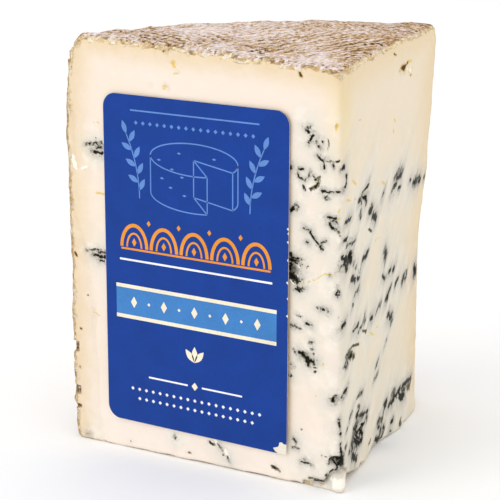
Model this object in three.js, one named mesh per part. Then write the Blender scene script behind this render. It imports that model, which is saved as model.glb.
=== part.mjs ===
// A wedge of blue cheese cut from a tall natural-rind wheel, with a paper label on one of its cut faces.
// Units are millimetres, +Z is up and the wedge stands on its underside.
//
// The wheel's axis is the apex line of the wedge. The labelled cut runs from it along -X and faces -Y,
// and the second cut swings away towards +Y. Shapes are worked out about that axis, and the finished
// group is then shifted so that its origin is the middle of its footprint.

import * as THREE from "three";

const { clamp, degToRad, lerp, smoothstep } = THREE.MathUtils;

// ---- Driving dimensions --------------------------------------------------------------------

const WHEEL = { height: 121.3, radius: 92.6 };

// The wall's [height, radius] points, from foot to rim, beside each cut. It sags, and the rim is worn
// beside the labelled cut. Round the wheel, the change to the second list begins at the share `start`.
const WALL = {
  labelled: [[0, 94.6], [12, 95.8], [36, 95.7], [50, 94.9], [68, 94.6], [97, 95.2], [109, 94.1], [117, 93],
    [122, 91.8], [125.5, 89.4]],
  second: [[0, 85.2], [25, 86.2], [46, 87], [58, 88.4], [70, 91.4], [79, 94.1], [88, 92.4], [104, 92],
    [124, 95.2]],
  start: 0.45,
};

// The angle between the cuts, of which the second drifts inwards by `twist` lower down.
const WEDGE = { angle: degToRad(81.2), twist: degToRad(2), untwistedAbove: 115, fullTwist: 55 };

// The dished top: how much higher its rim is than the axis along each cut.
const DISH = { labelledRise: 6.5, secondRise: 3, secondCrest: 55, curve: 0.6 };

// How widely the edges are rounded: between the cuts, between cut and rind, at the foot and at the rim.
const ROUND = { apex: 4, outer: 3.5, foot: 1.2, rim: 2.2 };

// Reliefs are lumps of noise with a depth and a grain. `cover` is added to the noise, of which only
// what is then above 0 counts.
const RIND = { relief: 0.4, grain: 8, fineRelief: 0.3, fineGrain: 4.2 };
const PASTE = { relief: 0.3, grain: 14 };
const CRUMBLE = { depth: 1.6, reach: 4, grain: 4.5, cover: 0.3 }; // along the rim, where the rind broke
const BASE = { depth: 0.6, grain: 12, cover: -0.2, flatReach: 16 }; // under the wedge, round a flat middle

// Places on the cuts are [distance, height]. The distance goes round the apex: below 0 on the labelled cut.

// The foot of the second cut is broken away below this border, where the face turns under.
const BROKEN_FOOT = {
  border: [[3.6, 0], [4.8, 4.9], [15, 2.4], [24, 1], [35, 2.6], [50, 0], [68, 0], [80, 1.6], [90, 2.6]],
  slope: 1.1,
};

// A crack parts a lump from the foot of the apex.
const CRACK = {
  path: [[-12, 0.9], [-5, 1.3], [-4, 3.6], [-2.6, 5.2], [0, 6.2], [4, 5.6]],
  depth: 1.6,
  width: 1.2,
};

// Raised and hollow places, with their half width and half height. The first list has that lump and the
// lip at the foot of the second cut, and the second has the places where the blue has opened the paste.
// Each keeps its full depth out to the share `SPOT_MIDDLE` of its size.
const SPOT_MIDDLE = 0.3;
const SWELLINGS = [
  { at: [-0.4, 1.6], size: [4.6, 4], depth: 0.7 },
  { at: [64, 1], size: [22, 10], depth: 2.4 },
];
const HOLLOWS = [
  { at: [-15.5, 65], size: [2.6, 4.2], depth: 1.6 },
  { at: [-11, 39.5], size: [3.4, 1.8], depth: 1 },
  { at: [-1.8, 9.4], size: [2.6, 2], depth: 1.6 },
  { at: [-1.6, 28], size: [1.8, 1.6], depth: 0.9 },
  { at: [9, 68.5], size: [3.6, 1.8], depth: 1.1 },
  { at: [7, 39.5], size: [4, 1.8], depth: 1 },
  { at: [17, 12.5], size: [7, 5], depth: 1.2 },
  { at: [57, 115], size: [5, 2], depth: 1.4 },
  { at: [21, 83.5], size: [4, 2.4], depth: 0.9 },
];

const LABEL = {
  width: 63.5,
  height: 101.6,
  cornerRadius: 4.3,
  thickness: 0.3,
  gap: 0.3, // between the paper and the cheese
  fromAxis: 48.7,
  centreHeight: 59.9,
  turn: degToRad(1),
  cornerSteps: 6,
};

// The skin is worked out along level rays from a core line, which stands this far from the axis, midway
// between the cuts. A ray that runs closer to a cut's own direction than `GRAZING`, as a cosine, misses it.
const CORE_REACH = 58;
const GRAZING = 0.05;
const WALL_PASSES = 3; // to find the wall, whose radius differs from place to place
const RIM_PASSES = 2; // to find where the rim's rounding begins, which depends on the top above it

// How finely the skin is faceted: columns round each upright side, rows from the middle of the base to
// the middle of the top.
const COLUMNS = { labelledCut: 21, wall: 28, secondCut: 26 };
const ROWS = { base: 5, foot: 2, side: 34, rim: 2, top: 11 };
const CROWDING = { ends: 0.5, apex: 1.25 }; // towards the ends of a row or column, and towards the apex

const SURFACES = {
  cheese: { color: 0xf3e3c8, roughness: 0.6, metalness: 0 },
  label: { color: 0x214a96, roughness: 0.45, metalness: 0 },
};

// ---- Small helpers -------------------------------------------------------------------------

// A repeatable random number from 0 to 1 for each point of a whole-number lattice.
function latticeValue(x, y, z) {
  const mixed = Math.imul(x, 374761393) ^ Math.imul(y, 668265263) ^ Math.imul(z, 974634777);
  const stirred = Math.imul(mixed ^ (mixed >>> 13), 1274126177);
  return ((stirred ^ (stirred >>> 16)) >>> 0) / 0xffffffff;
}

// Smooth noise from -1 to 1, whose lumps are about `grain` across.
function noise(point, grain) {
  const place = [point.x / grain, point.y / grain, point.z / grain];
  const [i, j, k] = place.map(Math.floor);
  const [a, b, c] = place.map((value) => smoothstep(value, Math.floor(value), Math.floor(value) + 1));
  const edge = (dj, dk) => lerp(latticeValue(i, j + dj, k + dk), latticeValue(i + 1, j + dj, k + dk), a);
  return 2 * lerp(lerp(edge(0, 0), edge(1, 0), b), lerp(edge(0, 1), edge(1, 1), b), c) - 1;
}

// The lower of two lengths, eased together where they differ by less than `width`.
function softMin(a, b, width) {
  const overlap = Math.max(width - Math.abs(a - b), 0) / width;
  return Math.min(a, b) - (overlap * overlap * width) / 4;
}

// The second value at a place on the line through points that are sorted by their first.
function valueOnLine(points, place) {
  const next = points.findIndex(([at]) => at > place);
  if (next <= 0) return points.at(next).at(1);
  const [[fromPlace, from], [toPlace, to]] = points.slice(next - 1, next + 1);
  return lerp(from, to, (place - fromPlace) / (toPlace - fromPlace));
}

function distanceToPath(points, place, height) {
  const spot = new THREE.Vector3(place, height, 0);
  const corners = points.map(([x, y]) => new THREE.Vector3(x, y, 0));
  const distances = corners.slice(1).map((corner, i) => {
    const stretch = new THREE.Line3(corners[i], corner);
    return stretch.closestPointToPoint(spot, true, new THREE.Vector3()).distanceTo(spot);
  });
  return Math.min(...distances);
}

// Steps from 0 to 1, without the first, that crowd towards both ends.
function crowdedSteps(count) {
  return Array.from({ length: count }, (_, i) => {
    const step = (i + 1) / count;
    return lerp(step, smoothstep(step, 0, 1), CROWDING.ends);
  });
}

// ---- The surfaces of the wedge, about the wheel's axis -------------------------------------

const bisector = Math.PI - WEDGE.angle / 2;
const core = new THREE.Vector2(Math.cos(bisector), Math.sin(bisector)).multiplyScalar(CORE_REACH);

// The wedge's angle at a height.
function angleAt(height) {
  return WEDGE.angle - WEDGE.twist * (1 - smoothstep(height, WEDGE.fullTwist, WEDGE.untwistedAbove));
}

function secondCutDirection(height) {
  const bearing = Math.PI - angleAt(height);
  return new THREE.Vector2(Math.cos(bearing), Math.sin(bearing));
}

// How far round the wheel a point lies, from 0 at the labelled cut to 1 at the second.
function shareRound(point) {
  return clamp((Math.PI - Math.atan2(point.y, point.x)) / WEDGE.angle, 0, 1);
}

// The distance of a point from the axis along its own cut, below 0 on the labelled one.
function distanceRoundApex(point) {
  const alongSecond = secondCutDirection(point.z).dot(point);
  return (alongSecond + point.x) / (1 - Math.cos(angleAt(point.z)));
}

function rindRelief(point) {
  return RIND.relief * noise(point, RIND.grain) + RIND.fineRelief * noise(point, RIND.fineGrain);
}

// How deep the rim has crumbled at a point that lies `below` the rim or as far in from it.
function crumble(point, below) {
  const bite = Math.max(noise(point, CRUMBLE.grain) + CRUMBLE.cover, 0);
  return CRUMBLE.depth * bite * (1 - smoothstep(below, 0, CRUMBLE.reach));
}

// The depth of a list of raised or hollow places at one place.
function depthOf(spots, place, height) {
  const depths = spots.map(({ at, size, depth }) => {
    const away = Math.hypot((place - at[0]) / size[0], (height - at[1]) / size[1]);
    return depth * (1 - smoothstep(away, SPOT_MIDDLE, 1));
  });
  return Math.max(...depths);
}

// How far a cut face lies inside its plane.
function cutDepth(point) {
  const place = distanceRoundApex(point);
  const waves = (PASTE.relief * (1 + noise(point, PASTE.grain))) / 2;
  const toCrack = distanceToPath(CRACK.path, place, point.z);
  const crack = CRACK.depth * (1 - smoothstep(toCrack, 0, CRACK.width));
  const broken = BROKEN_FOOT.slope * Math.max(valueOnLine(BROKEN_FOOT.border, place) - point.z, 0);
  const rim = crumble(point, plainTop(point) - point.z);
  const spots = depthOf(HOLLOWS, place, point.z) - depthOf(SWELLINGS, place, point.z);
  return waves + crack + broken + rim + spots;
}

function wallRadius(point) {
  const [labelled, second] = [WALL.labelled, WALL.second].map((points) => valueOnLine(points, point.z));
  return lerp(labelled, second, smoothstep(shareRound(point), WALL.start, 1)) + rindRelief(point);
}

// The distance from the core to a cut, along a level direction. `outward` is the cut's own.
function reachOfCut(direction, height, outward) {
  const approach = direction.dot(outward);
  if (approach < GRAZING) return Infinity;
  const toPlane = -core.dot(outward) / approach;
  const hit = core.clone().addScaledVector(direction, toPlane);
  return toPlane - cutDepth(new THREE.Vector3(hit.x, hit.y, height)) / approach;
}

// The same to the round wall.
function reachOfWall(direction, height) {
  const approach = core.dot(direction);
  let reach = WHEEL.radius - core.length();
  for (let pass = 0; pass < WALL_PASSES; pass++) {
    const hit = core.clone().addScaledVector(direction, reach);
    const radius = wallRadius(new THREE.Vector3(hit.x, hit.y, height));
    reach = -approach + Math.sqrt(approach ** 2 + radius ** 2 - core.lengthSq());
  }
  return reach;
}

// The distance from the core to the wedge's upright skin.
function reachOf(direction, height) {
  const along = secondCutDirection(height);
  const labelled = reachOfCut(direction, height, new THREE.Vector2(0, -1));
  const second = reachOfCut(direction, height, new THREE.Vector2(along.y, -along.x));
  const cuts = Math.min(labelled, second) === Infinity ? Infinity : softMin(labelled, second, ROUND.apex);
  const wall = reachOfWall(direction, height);
  return cuts === Infinity ? wall : softMin(cuts, wall, ROUND.outer);
}

// The height of the dished top without its relief.
function plainTop(point) {
  const away = Math.hypot(point.x, point.y);
  const labelled = DISH.labelledRise * (away / WHEEL.radius) ** DISH.curve;
  const second = DISH.secondRise * Math.min(away / DISH.secondCrest, 1) ** DISH.curve;
  return WHEEL.height + lerp(labelled, second, shareRound(point));
}

function topHeight(x, y) {
  const point = new THREE.Vector3(x, y, WHEEL.height);
  const along = secondCutDirection(WHEEL.height);
  const inFromCuts = Math.min(y, x * -along.y + y * along.x);
  return plainTop(point) + rindRelief(point) - crumble(point, inFromCuts);
}

// The underside: flat, but for shallow hollows away from its middle.
function baseHeight(x, y) {
  const fromCore = Math.hypot(x - core.x, y - core.y);
  const hollow = Math.max(noise(new THREE.Vector3(x, y, 0), BASE.grain) + BASE.cover, 0);
  return BASE.depth * hollow * smoothstep(fromCore, BASE.flatReach, 2 * BASE.flatReach);
}

// ---- The skin ------------------------------------------------------------------------------

// The level directions of the columns, from the core through points spaced round the wedge's plain outline.
function columnDirections() {
  const outer = WHEEL.radius;
  const second = secondCutDirection(WHEEL.height);
  const labelledCut = crowdedSteps(COLUMNS.labelledCut).map((t) => {
    return new THREE.Vector2(-outer * t ** CROWDING.apex, 0);
  });
  const wall = crowdedSteps(COLUMNS.wall).map((t) => {
    return new THREE.Vector2(-outer, 0).rotateAround(new THREE.Vector2(), -WEDGE.angle * t);
  });
  const secondCut = crowdedSteps(COLUMNS.secondCut).map((t) => {
    return second.clone().multiplyScalar(outer * (1 - t) ** CROWDING.apex);
  });
  return [...labelledCut, ...wall, ...secondCut].map((spot) => spot.sub(core).normalize());
}

// The height at which the rim's rounding begins in a direction from the core.
function rimStart(direction) {
  let height = WHEEL.height;
  for (let pass = 0; pass < RIM_PASSES; pass++) {
    const spot = core.clone().addScaledVector(direction, reachOf(direction, height));
    height = topHeight(spot.x, spot.y) - ROUND.rim;
  }
  return height;
}

// Each zone of rows gives the skin's point in a direction from the core, for a step from 0 to 1 across it.
const ZONES = {
  base(direction, step) {
    const spot = core.clone().addScaledVector(direction, (reachOf(direction, 0) - ROUND.foot) * step);
    return [spot.x, spot.y, baseHeight(spot.x, spot.y)];
  },
  foot(direction, step) {
    const turn = (step * Math.PI) / 2;
    const height = ROUND.foot * (1 - Math.cos(turn));
    const reach = reachOf(direction, height) - ROUND.foot * (1 - Math.sin(turn));
    const spot = core.clone().addScaledVector(direction, reach);
    return [spot.x, spot.y, height];
  },
  side(direction, step) {
    const height = lerp(ROUND.foot, rimStart(direction), step);
    const spot = core.clone().addScaledVector(direction, reachOf(direction, height));
    return [spot.x, spot.y, height];
  },
  rim(direction, step) {
    const turn = (step * Math.PI) / 2;
    const reach = reachOf(direction, rimStart(direction)) - ROUND.rim * (1 - Math.cos(turn));
    const spot = core.clone().addScaledVector(direction, reach);
    return [spot.x, spot.y, topHeight(spot.x, spot.y) - ROUND.rim * (1 - Math.sin(turn))];
  },
  top(direction, step) {
    const edge = reachOf(direction, rimStart(direction)) - ROUND.rim;
    const spot = core.clone().addScaledVector(direction, edge * (1 - step));
    return [spot.x, spot.y, topHeight(spot.x, spot.y)];
  },
};

// A closed skin of rows of points, each row the same length, between a point under them and one over them.
function closedSkin(rows, under, over) {
  const width = rows[0].length;
  const corner = (row, column) => 1 + row * width + (column % width);
  const last = rows.length * width + 1;
  const faces = [];
  for (let column = 0; column < width; column++) {
    faces.push(0, corner(0, column), corner(0, column + 1));
    faces.push(last, corner(rows.length - 1, column + 1), corner(rows.length - 1, column));
    for (let row = 0; row + 1 < rows.length; row++) {
      const [a, b] = [corner(row, column), corner(row, column + 1)];
      const [c, d] = [corner(row + 1, column), corner(row + 1, column + 1)];
      faces.push(a, c, b, b, c, d);
    }
  }
  const places = [under, ...rows.flat(), over].flat();
  const geometry = new THREE.BufferGeometry();
  geometry.setAttribute("position", new THREE.Float32BufferAttribute(places, 3));
  geometry.setIndex(faces);
  geometry.computeVertexNormals();
  return geometry;
}

function cheeseGeometry() {
  const directions = columnDirections();
  const rowOf = (zone, step) => directions.map((direction) => ZONES[zone](direction, step));
  const rowsOf = (zone, steps) => steps.map((step) => rowOf(zone, step));
  const rows = [
    ...rowsOf("base", crowdedSteps(ROWS.base)),
    ...rowsOf("foot", crowdedSteps(ROWS.foot)),
    ...rowsOf("side", crowdedSteps(ROWS.side)),
    ...rowsOf("rim", crowdedSteps(ROWS.rim)),
    ...rowsOf("top", crowdedSteps(ROWS.top).slice(0, -1)),
  ];
  return closedSkin(rows, [core.x, core.y, 0], [core.x, core.y, topHeight(core.x, core.y)]);
}

// The paper label: a rounded rectangle a little proud of the labelled cut.
function labelGeometry() {
  const [right, top, radius] = [LABEL.width / 2, LABEL.height / 2, LABEL.cornerRadius];
  const outline = new THREE.Shape();
  outline.absarc(right - radius, top - radius, radius, 0, Math.PI / 2);
  outline.absarc(radius - right, top - radius, radius, Math.PI / 2, Math.PI);
  outline.absarc(radius - right, radius - top, radius, Math.PI, 1.5 * Math.PI);
  outline.absarc(right - radius, radius - top, radius, 1.5 * Math.PI, 2 * Math.PI);
  return new THREE.ExtrudeGeometry(outline, {
    depth: LABEL.thickness,
    bevelEnabled: false,
    curveSegments: LABEL.cornerSteps,
  });
}

// ---- The object ----------------------------------------------------------------------------

function piece(name, geometry) {
  const mesh = new THREE.Mesh(geometry, new THREE.MeshStandardMaterial(SURFACES[name]));
  mesh.name = name;
  return mesh;
}

const cheese = piece("cheese", cheeseGeometry());
const label = piece("label", labelGeometry());
label.rotation.set(Math.PI / 2, LABEL.turn, 0, "YXZ");
label.position.set(-LABEL.fromAxis, -LABEL.gap, LABEL.centreHeight);

const wedge = new THREE.Group();
wedge.add(cheese, label);
const middle = new THREE.Box3().setFromObject(wedge, true).getCenter(new THREE.Vector3());
wedge.position.set(-middle.x, -middle.y, 0);

export default wedge;
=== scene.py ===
"""The looks of a blue cheese wedge: a fine skin over the cheese's solid, and a printed paper label.

Sizes are millimetres about the wheel's axis, as in the solids. The axis is the apex line of the wedge, the
labelled cut runs from it along -X and faces -Y, and +Z is up. MM turns a length into Blender's metres.
"""

import math

import bpy
import numpy as np
from mathutils import Matrix, Vector


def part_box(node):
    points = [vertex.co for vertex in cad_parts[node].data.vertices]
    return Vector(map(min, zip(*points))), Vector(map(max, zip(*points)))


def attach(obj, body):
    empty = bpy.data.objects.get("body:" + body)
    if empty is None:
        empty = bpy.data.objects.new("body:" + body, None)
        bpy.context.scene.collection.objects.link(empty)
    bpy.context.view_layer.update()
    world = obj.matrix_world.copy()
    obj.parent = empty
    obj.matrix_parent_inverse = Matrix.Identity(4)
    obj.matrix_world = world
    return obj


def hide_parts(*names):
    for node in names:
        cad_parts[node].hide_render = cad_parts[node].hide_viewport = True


MM = 0.001
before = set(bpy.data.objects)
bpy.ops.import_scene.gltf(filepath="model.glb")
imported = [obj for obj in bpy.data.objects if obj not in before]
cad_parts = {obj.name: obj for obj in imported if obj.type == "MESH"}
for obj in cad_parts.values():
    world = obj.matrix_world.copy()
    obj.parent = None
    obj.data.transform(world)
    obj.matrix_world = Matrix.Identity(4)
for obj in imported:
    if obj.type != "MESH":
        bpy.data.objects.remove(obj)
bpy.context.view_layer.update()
label_low, label_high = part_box("label")

# ---- The solids' own dimensions ----

# Down to RIM_PASSES, these are part.mjs's own values, with the same reliefs and places.
WHEEL = dict(height=121.3, radius=92.6)
# The wall's (height, radius) points, from foot to rim, beside each cut, and the share of the way round
# at which the one starts to turn into the other.
WALL = dict(
    labelled=[
        (0, 94.6), (12, 95.8), (36, 95.7), (50, 94.9), (68, 94.6), (97, 95.2), (109, 94.1), (117, 93),
        (122, 91.8), (125.5, 89.4),
    ],
    second=[
        (0, 85.2), (25, 86.2), (46, 87), (58, 88.4), (70, 91.4), (79, 94.1), (88, 92.4), (104, 92),
        (124, 95.2),
    ],
    start=0.45,
)
# The angle between the cuts, of which the second drifts inwards by `twist` lower down.
WEDGE = dict(angle=math.radians(81.2), twist=math.radians(2), untwisted_above=115, full_twist=55)
# How much higher than the axis the dished top is at its rim, along each cut.
DISH = dict(labelled_rise=6.5, second_rise=3, second_crest=55, curve=0.6)
ROUND = dict(apex=4, outer=3.5, foot=1.2, rim=2.2)
RIND = dict(relief=0.4, grain=8, fine_relief=0.3, fine_grain=4.2)
PASTE = dict(relief=0.3, grain=14)
CRUMBLE = dict(depth=1.6, reach=4, grain=4.5, cover=0.3)
BASE = dict(depth=0.6, grain=12, cover=-0.2, flat_reach=16)
BROKEN_FOOT = dict(
    border=[(3.6, 0), (4.8, 4.9), (15, 2.4), (24, 1), (35, 2.6), (50, 0), (68, 0), (80, 1.6), (90, 2.6)],
    slope=1.1,
)
CRACK = dict(
    path=[(-12, 0.9), (-5, 1.3), (-4, 3.6), (-2.6, 5.2), (0, 6.2), (4, 5.6)], depth=1.6, width=1.2
)
# Raised and hollow places: distance round the apex, height, half width, half height, depth.
SWELLINGS = [(-0.4, 1.6, 4.6, 4, 0.7), (64, 1, 22, 10, 2.4)]
HOLLOWS = [
    (-15.5, 65, 2.6, 4.2, 1.6), (-11, 39.5, 3.4, 1.8, 1), (-1.8, 9.4, 2.6, 2, 1.6),
    (-1.6, 28, 1.8, 1.6, 0.9), (9, 68.5, 3.6, 1.8, 1.1), (7, 39.5, 4, 1.8, 1), (17, 12.5, 7, 5, 1.2),
    (57, 115, 5, 2, 1.4), (21, 83.5, 4, 2.4, 0.9),
]
SPOT_MIDDLE = 0.3  # the share of its reach over which a raised or hollow place is full
LABEL = dict(
    width=63.5, height=101.6, corner=4.3, thickness=0.3, gap=0.3, from_axis=48.7, centre=59.9, turn=1
)
CORE_REACH = 58  # from the axis to the core, where the level rays that the skin is found along start
GRAZING = 0.05  # a ray that runs closer to a cut's own direction than this, as a cosine, misses it
WALL_PASSES = 3  # to find the wall, whose radius differs from place to place
RIM_PASSES = 2  # to find where the rim's rounding begins, which depends on the top above it
FAR = 1e4  # a length past every other one

label_middle = (label_low + label_high) / 2
# The foot of the wheel's axis in the frame, found from where the label is in both.
label_from_axis = (-LABEL["from_axis"], -LABEL["gap"] - LABEL["thickness"] / 2, LABEL["centre"])
AXIS_FOOT = np.array(label_middle) / MM - label_from_axis

# ---- Relief finer than the solids' ----

FINE_CRUMBLE = dict(depth=1.1, reach=2.4, grain=1.7, cover=0.25)
FINE_RIND = dict(relief=0.2, grain=1.7, knobs=0.3, knob_grain=3)
FINE_FOOT = dict(scallops=1.1, grain=3.4, nibbles=1.0, nibble_grain=5, nibble_cover=0.25)
WRINKLES = dict(depth=0.25, spacing=3.1, sway=1.6, sway_grain=11, fray=0.2, fray_grain=15, full=0.5)
# Sets of wrinkles: their bearing, and the middle and reach of the patch of the top that they cover.
WRINKLE_SETS = dict(rows=(72, (-25, 36), 34), streaks=(-14, (-66, 14), 26))
# Left by the wire on the second cut: lines at this slope, along which it drew the blue out too.
SMEARS = dict(depth=0.06, spacing=1.9, length=16, slope=math.radians(42), stretch=2.5)
GRAINS = dict(depth=0.05, grain=1.1)
# Where the blue stands open: its depth on each cut, and the share of it that varies.
VEIN_PITS = dict(depths=(0.55, 0.2), grain=1.3, uneven=0.4, olive=0.7)
ROUND_THE_APEX = (0, 6)  # where the labelled cut's relief starts to turn into the second's, and ends

# ---- The blue: strokes on the two cuts ----

# Each stroke is a half width and then its points, (distance from the apex, height). The heights here, in
# PITS and in FLAKES were read from the photo with the label's middle at this one.
READ_CENTRE = 58.8
VEIN_LIFT = LABEL["centre"] - READ_CENTRE

LABELLED_CUT = dict(
    dark=[
        (0.5, (11, 104.3), (9.8, 103.5), (8.3, 102.7)), (0.45, (9, 102.3), (10.3, 100.4)),
        (0.4, (7.8, 101), (7.7, 101)), (0.5, (6.9, 99.7), (6.7, 99.6)),
        (0.45, (7.6, 97.3), (6.5, 96.4), (4.6, 96.2)), (0.4, (5.6, 95.6), (5.7, 93.8)),
        (0.5, (-3.7, 91.7), (-3.7, 91.3)),
        (0.4, (-4, 91.6), (-3.6, 89.6), (-2.8, 88.7), (-0.8, 88), (1.3, 87.5), (4.5, 87.3), (6.4, 87.6)),
        (0.5, (6.3, 87.6), (5.8, 87.5)), (0.36, (13.6, 92.9), (12.1, 93.1)),
        (0.36, (13.9, 91.8), (13.6, 90.5)), (0.42, (13.2, 90.4), (11.5, 89.9)),
        (0.3, (11.7, 90.1), (10.4, 91), (10.1, 92.6)), (0.7, (16.8, 93.3), (16, 93.2)),
        (0.7, (17, 81.6), (16, 81.2), (15, 81.6)), (0.5, (4.8, 80.2), (1.9, 79.8)),
        (0.55, (4, 78.4), (3.1, 77.5), (1.3, 77)), (0.5, (11.9, 76.2), (11.2, 75.8), (9.8, 75.6)),
        (0.42, (9.8, 75), (8.1, 72.9), (6.9, 71.8)), (0.36, (6.9, 72.3), (6, 72.9), (5, 73.2)),
        (0.5, (11.3, 72.3), (10.5, 72)), (0.8, (16.8, 67.9), (15.6, 66.8), (14.7, 65.2), (14.5, 63.6)),
        (1.7, (17.4, 66.6), (16.4, 65), (15.2, 63.3)), (1.2, (15.2, 66.8), (14.2, 65.6)),
        (1.2, (17, 62), (15.7, 61.6), (14.4, 61)), (0.36, (14.4, 67), (12.8, 67)),
        (0.3, (12.3, 61.5), (13.3, 60.3)), (0.45, (15.2, 58.2), (14.2, 57.7), (13.5, 57.6)),
        (0.4, (12.9, 58.8), (11.8, 58.8)), (0.28, (3.8, 63.4), (3.6, 63.4)),
        (0.3, (2.1, 58.2), (1.2, 59.4), (0, 58.8), (0.3, 57.8), (1, 57.3), (2.1, 58.1)),
        (0.3, (1.3, 60.3), (1.1, 60.3)), (0.5, (6.5, 53.2), (4.2, 53)), (0.55, (16.5, 47.1), (14.9, 47.1)),
        (0.5, (11.3, 48.2), (9.9, 47.8)), (0.3, (15.6, 39.8), (14.6, 39.4)),
        (0.95, (13.3, 38.9), (11.5, 38.6), (10.8, 37.8), (9, 37.4)), (0.8, (10.9, 37.2), (10.4, 36.4)),
        (0.4, (16.4, 35.3), (16.2, 35.1)), (0.7, (3.1, 26.3), (1.9, 26.8), (1.3, 27.7)),
        (0.36, (-0.2, 27.4), (-2.2, 28.3), (-4.9, 28.8)), (0.4, (13, 6), (11.2, 6.2), (9.7, 5.7)),
        (0.5, (-0.8, 9.9), (0.3, 9.2), (2.9, 8.7)), (0.36, (3.5, 9), (3.7, 7.6), (4.2, 7)),
        (0.4, (3.1, 8.2), (1.9, 7.8), (0.8, 6.9)), (0.5, (-1.1, 8.8), (0.9, 6.8), (1.8, 5.4)),
        (0.45, (2.6, 5.6), (3.6, 4.4), (4.5, 2), (6.4, 1.2), (8.5, 1.2)),
        (0.7, (84.5, 91.8), (82.5, 91.2), (80, 91.2)), (0.65, (85.4, 59.4), (83, 59), (80.2, 59.2)),
        (0.5, (83.4, 57.9), (81.6, 58)), (0.34, (90.6, 0.6), (90.3, 0.5)), (0.4, (89.2, 0.9), (89, 0.9)),
    ],
    slate=[
        (0.5, (11, 104.6), (9.9, 105.2)), (0.36, (6.1, 101.7), (5.9, 101.3)), (0.5, (3, 95.2), (2.5, 94.3)),
        (0.6, (5.2, 85.8), (4.6, 85.6)), (0.36, (12.3, 88.3), (11.7, 87)), (0.4, (9.2, 91.8), (8.7, 91.2)),
        (0.36, (14.4, 82.9), (13.5, 82.2)), (0.5, (3.5, 79.3), (1.7, 78.7)),
        (0.6, (6.8, 71.6), (6.4, 70.9)), (0.9, (14, 58.7), (13.6, 58.3)), (0.75, (1.2, 58.4), (0.9, 58.4)),
        (0.3, (14.6, 50.7), (12.9, 50.1)), (0.4, (8, 53.4), (6.8, 53.3)), (0.4, (14.8, 46.8), (13.4, 46.5)),
        (0.6, (10.1, 43), (9.8, 43)), (0.5, (9.8, 41), (9.4, 41)), (0.3, (15.4, 39.4), (14.6, 38.2)),
        (0.24, (10.8, 35.3), (8.3, 35.7)), (0.5, (17, 31.9), (16.7, 31.9)), (0.9, (2.3, 26.6), (1.9, 27)),
        (0.4, (16.2, 9.9), (14.4, 9.8)), (0.8, (15.6, 12.4), (15.2, 12)), (0.9, (2.2, 8.2), (1.2, 8.6)),
        (0.3, (12, 7.3), (11.7, 6.4)), (0.5, (87, 93.4), (85.2, 93.8), (82.7, 94.2), (80.8, 94.6)),
        (0.7, (82.6, 93), (80.4, 93.2)), (0.4, (88, 60.4), (85.6, 60.9), (82.7, 61.2)),
        (0.7, (83, 60.2), (80.6, 60.6)), (0.4, (41.6, 6.6), (40.4, 4.6)), (0.4, (38.6, 3.2), (37.4, 1.2)),
        (0.5, (57.3, 6), (57.2, 5.4)),
    ],
    olive=[
        (0.22, (13.5, 106), (11.2, 104.6)), (0.2, (4.3, 102.7), (4, 100.6), (4.6, 99)),
        (0.42, (4.4, 96), (2.3, 95.9), (0.6, 96.2)), (0.55, (8.5, 90.6), (6.8, 91), (7.3, 89.6)),
        (0.6, (7.5, 89.3), (8.5, 87.9), (9.8, 87.3)), (0.5, (1, 76.4), (0.4, 75.8)),
        (0.4, (0.3, 75), (0.1, 75)), (0.3, (11.1, 65.4), (11.3, 64.5)), (0.7, (15.9, 61), (14, 61)),
        (0.6, (15, 62.3), (13.6, 61.1), (14.2, 60.2)), (0.32, (0.9, 51.5), (0.7, 51.5)),
        (0.4, (8.8, 39.9), (8.6, 39.6)), (1, (12.4, 38.8), (10.2, 37.6), (9.2, 37.2)),
        (0.34, (9, 34.2), (8.3, 34.6)), (0.34, (13.3, 16), (13.1, 16)), (0.3, (6.3, 9.4), (4.6, 9.2)),
        (0.4, (10.8, 1.6), (7, 1.3)), (0.5, (5, 3.6), (5.4, 3)), (0.7, (44.6, 6.2), (43, 5.6)),
        (0.4, (40.2, 3.6), (39.8, 3)), (0.7, (22.8, 2.8), (20.4, 2.1)), (0.36, (53, 1.3), (51.5, 1.3)),
        (0.4, (83, 95.9), (82.8, 95.7)), (0.4, (83.7, 62.2), (83.4, 62.1)), (0.3, (74, 1), (73.5, 1)),
    ],
    yellow=[
        (0.55, (1.9, 105), (1.2, 106.5)), (0.42, (0.8, 81.9), (0.2, 83)), (0.5, (1, 79.6), (0.6, 79.6)),
        (0.26, (13.1, 59.8), (10.8, 60.9), (7.7, 62.3), (5.8, 63.9), (3.5, 63.4), (0.8, 64.1)),
        (0.4, (6.2, 37.4), (5.8, 37)), (0.3, (8.5, 27.4), (8.3, 27.2)), (0.45, (83.4, 78.8), (80.2, 78.7)),
        (0.3, (87.4, 41.1), (85.4, 40.5), (83.8, 40.1)), (0.3, (84, 100.6), (81.6, 100.4)),
        (0.75, (54.9, 120), (54.6, 119.2)), (0.4, (54.6, 116.9), (52.4, 117.4)),
        (0.5, (63.2, 113.6), (62.6, 112.6)), (0.8, (58.3, 112.8), (56.6, 112.6)),
        (0.24, (38.6, 115.2), (38.4, 114.6)),
    ],
    brown=[
        (0.6, (13, 119.4), (12.6, 119.2)), (0.6, (58, 123.2), (57.4, 123)), (0.3, (57, 123.6), (56, 124.6)),
        (0.32, (88.4, 46.3), (88.2, 46.3)), (0.36, (91.6, 35.2), (91, 35)), (0.5, (93.2, 59.8), (92, 58.6)),
        (0.6, (94, 24), (92.6, 22.6)), (0.5, (93.4, 97), (93.2, 94.6)),
    ],
    white=[
        (0.75, (91.5, 89.6), (91.4, 88), (91, 86.2)), (0.5, (88.4, 86), (86.6, 86.6)),
        (0.6, (42.4, 7.8), (41.4, 6)), (1.6, (1.8, 1.6), (-1.6, 2.2)), (0.6, (39.4, 5), (38, 2.4)),
        (0.5, (16.2, 60.4), (15.4, 60)), (0.4, (13.5, 65.4), (13.4, 64.6)), (0.4, (14.8, 62.4), (13.8, 62)),
    ],
)

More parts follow.
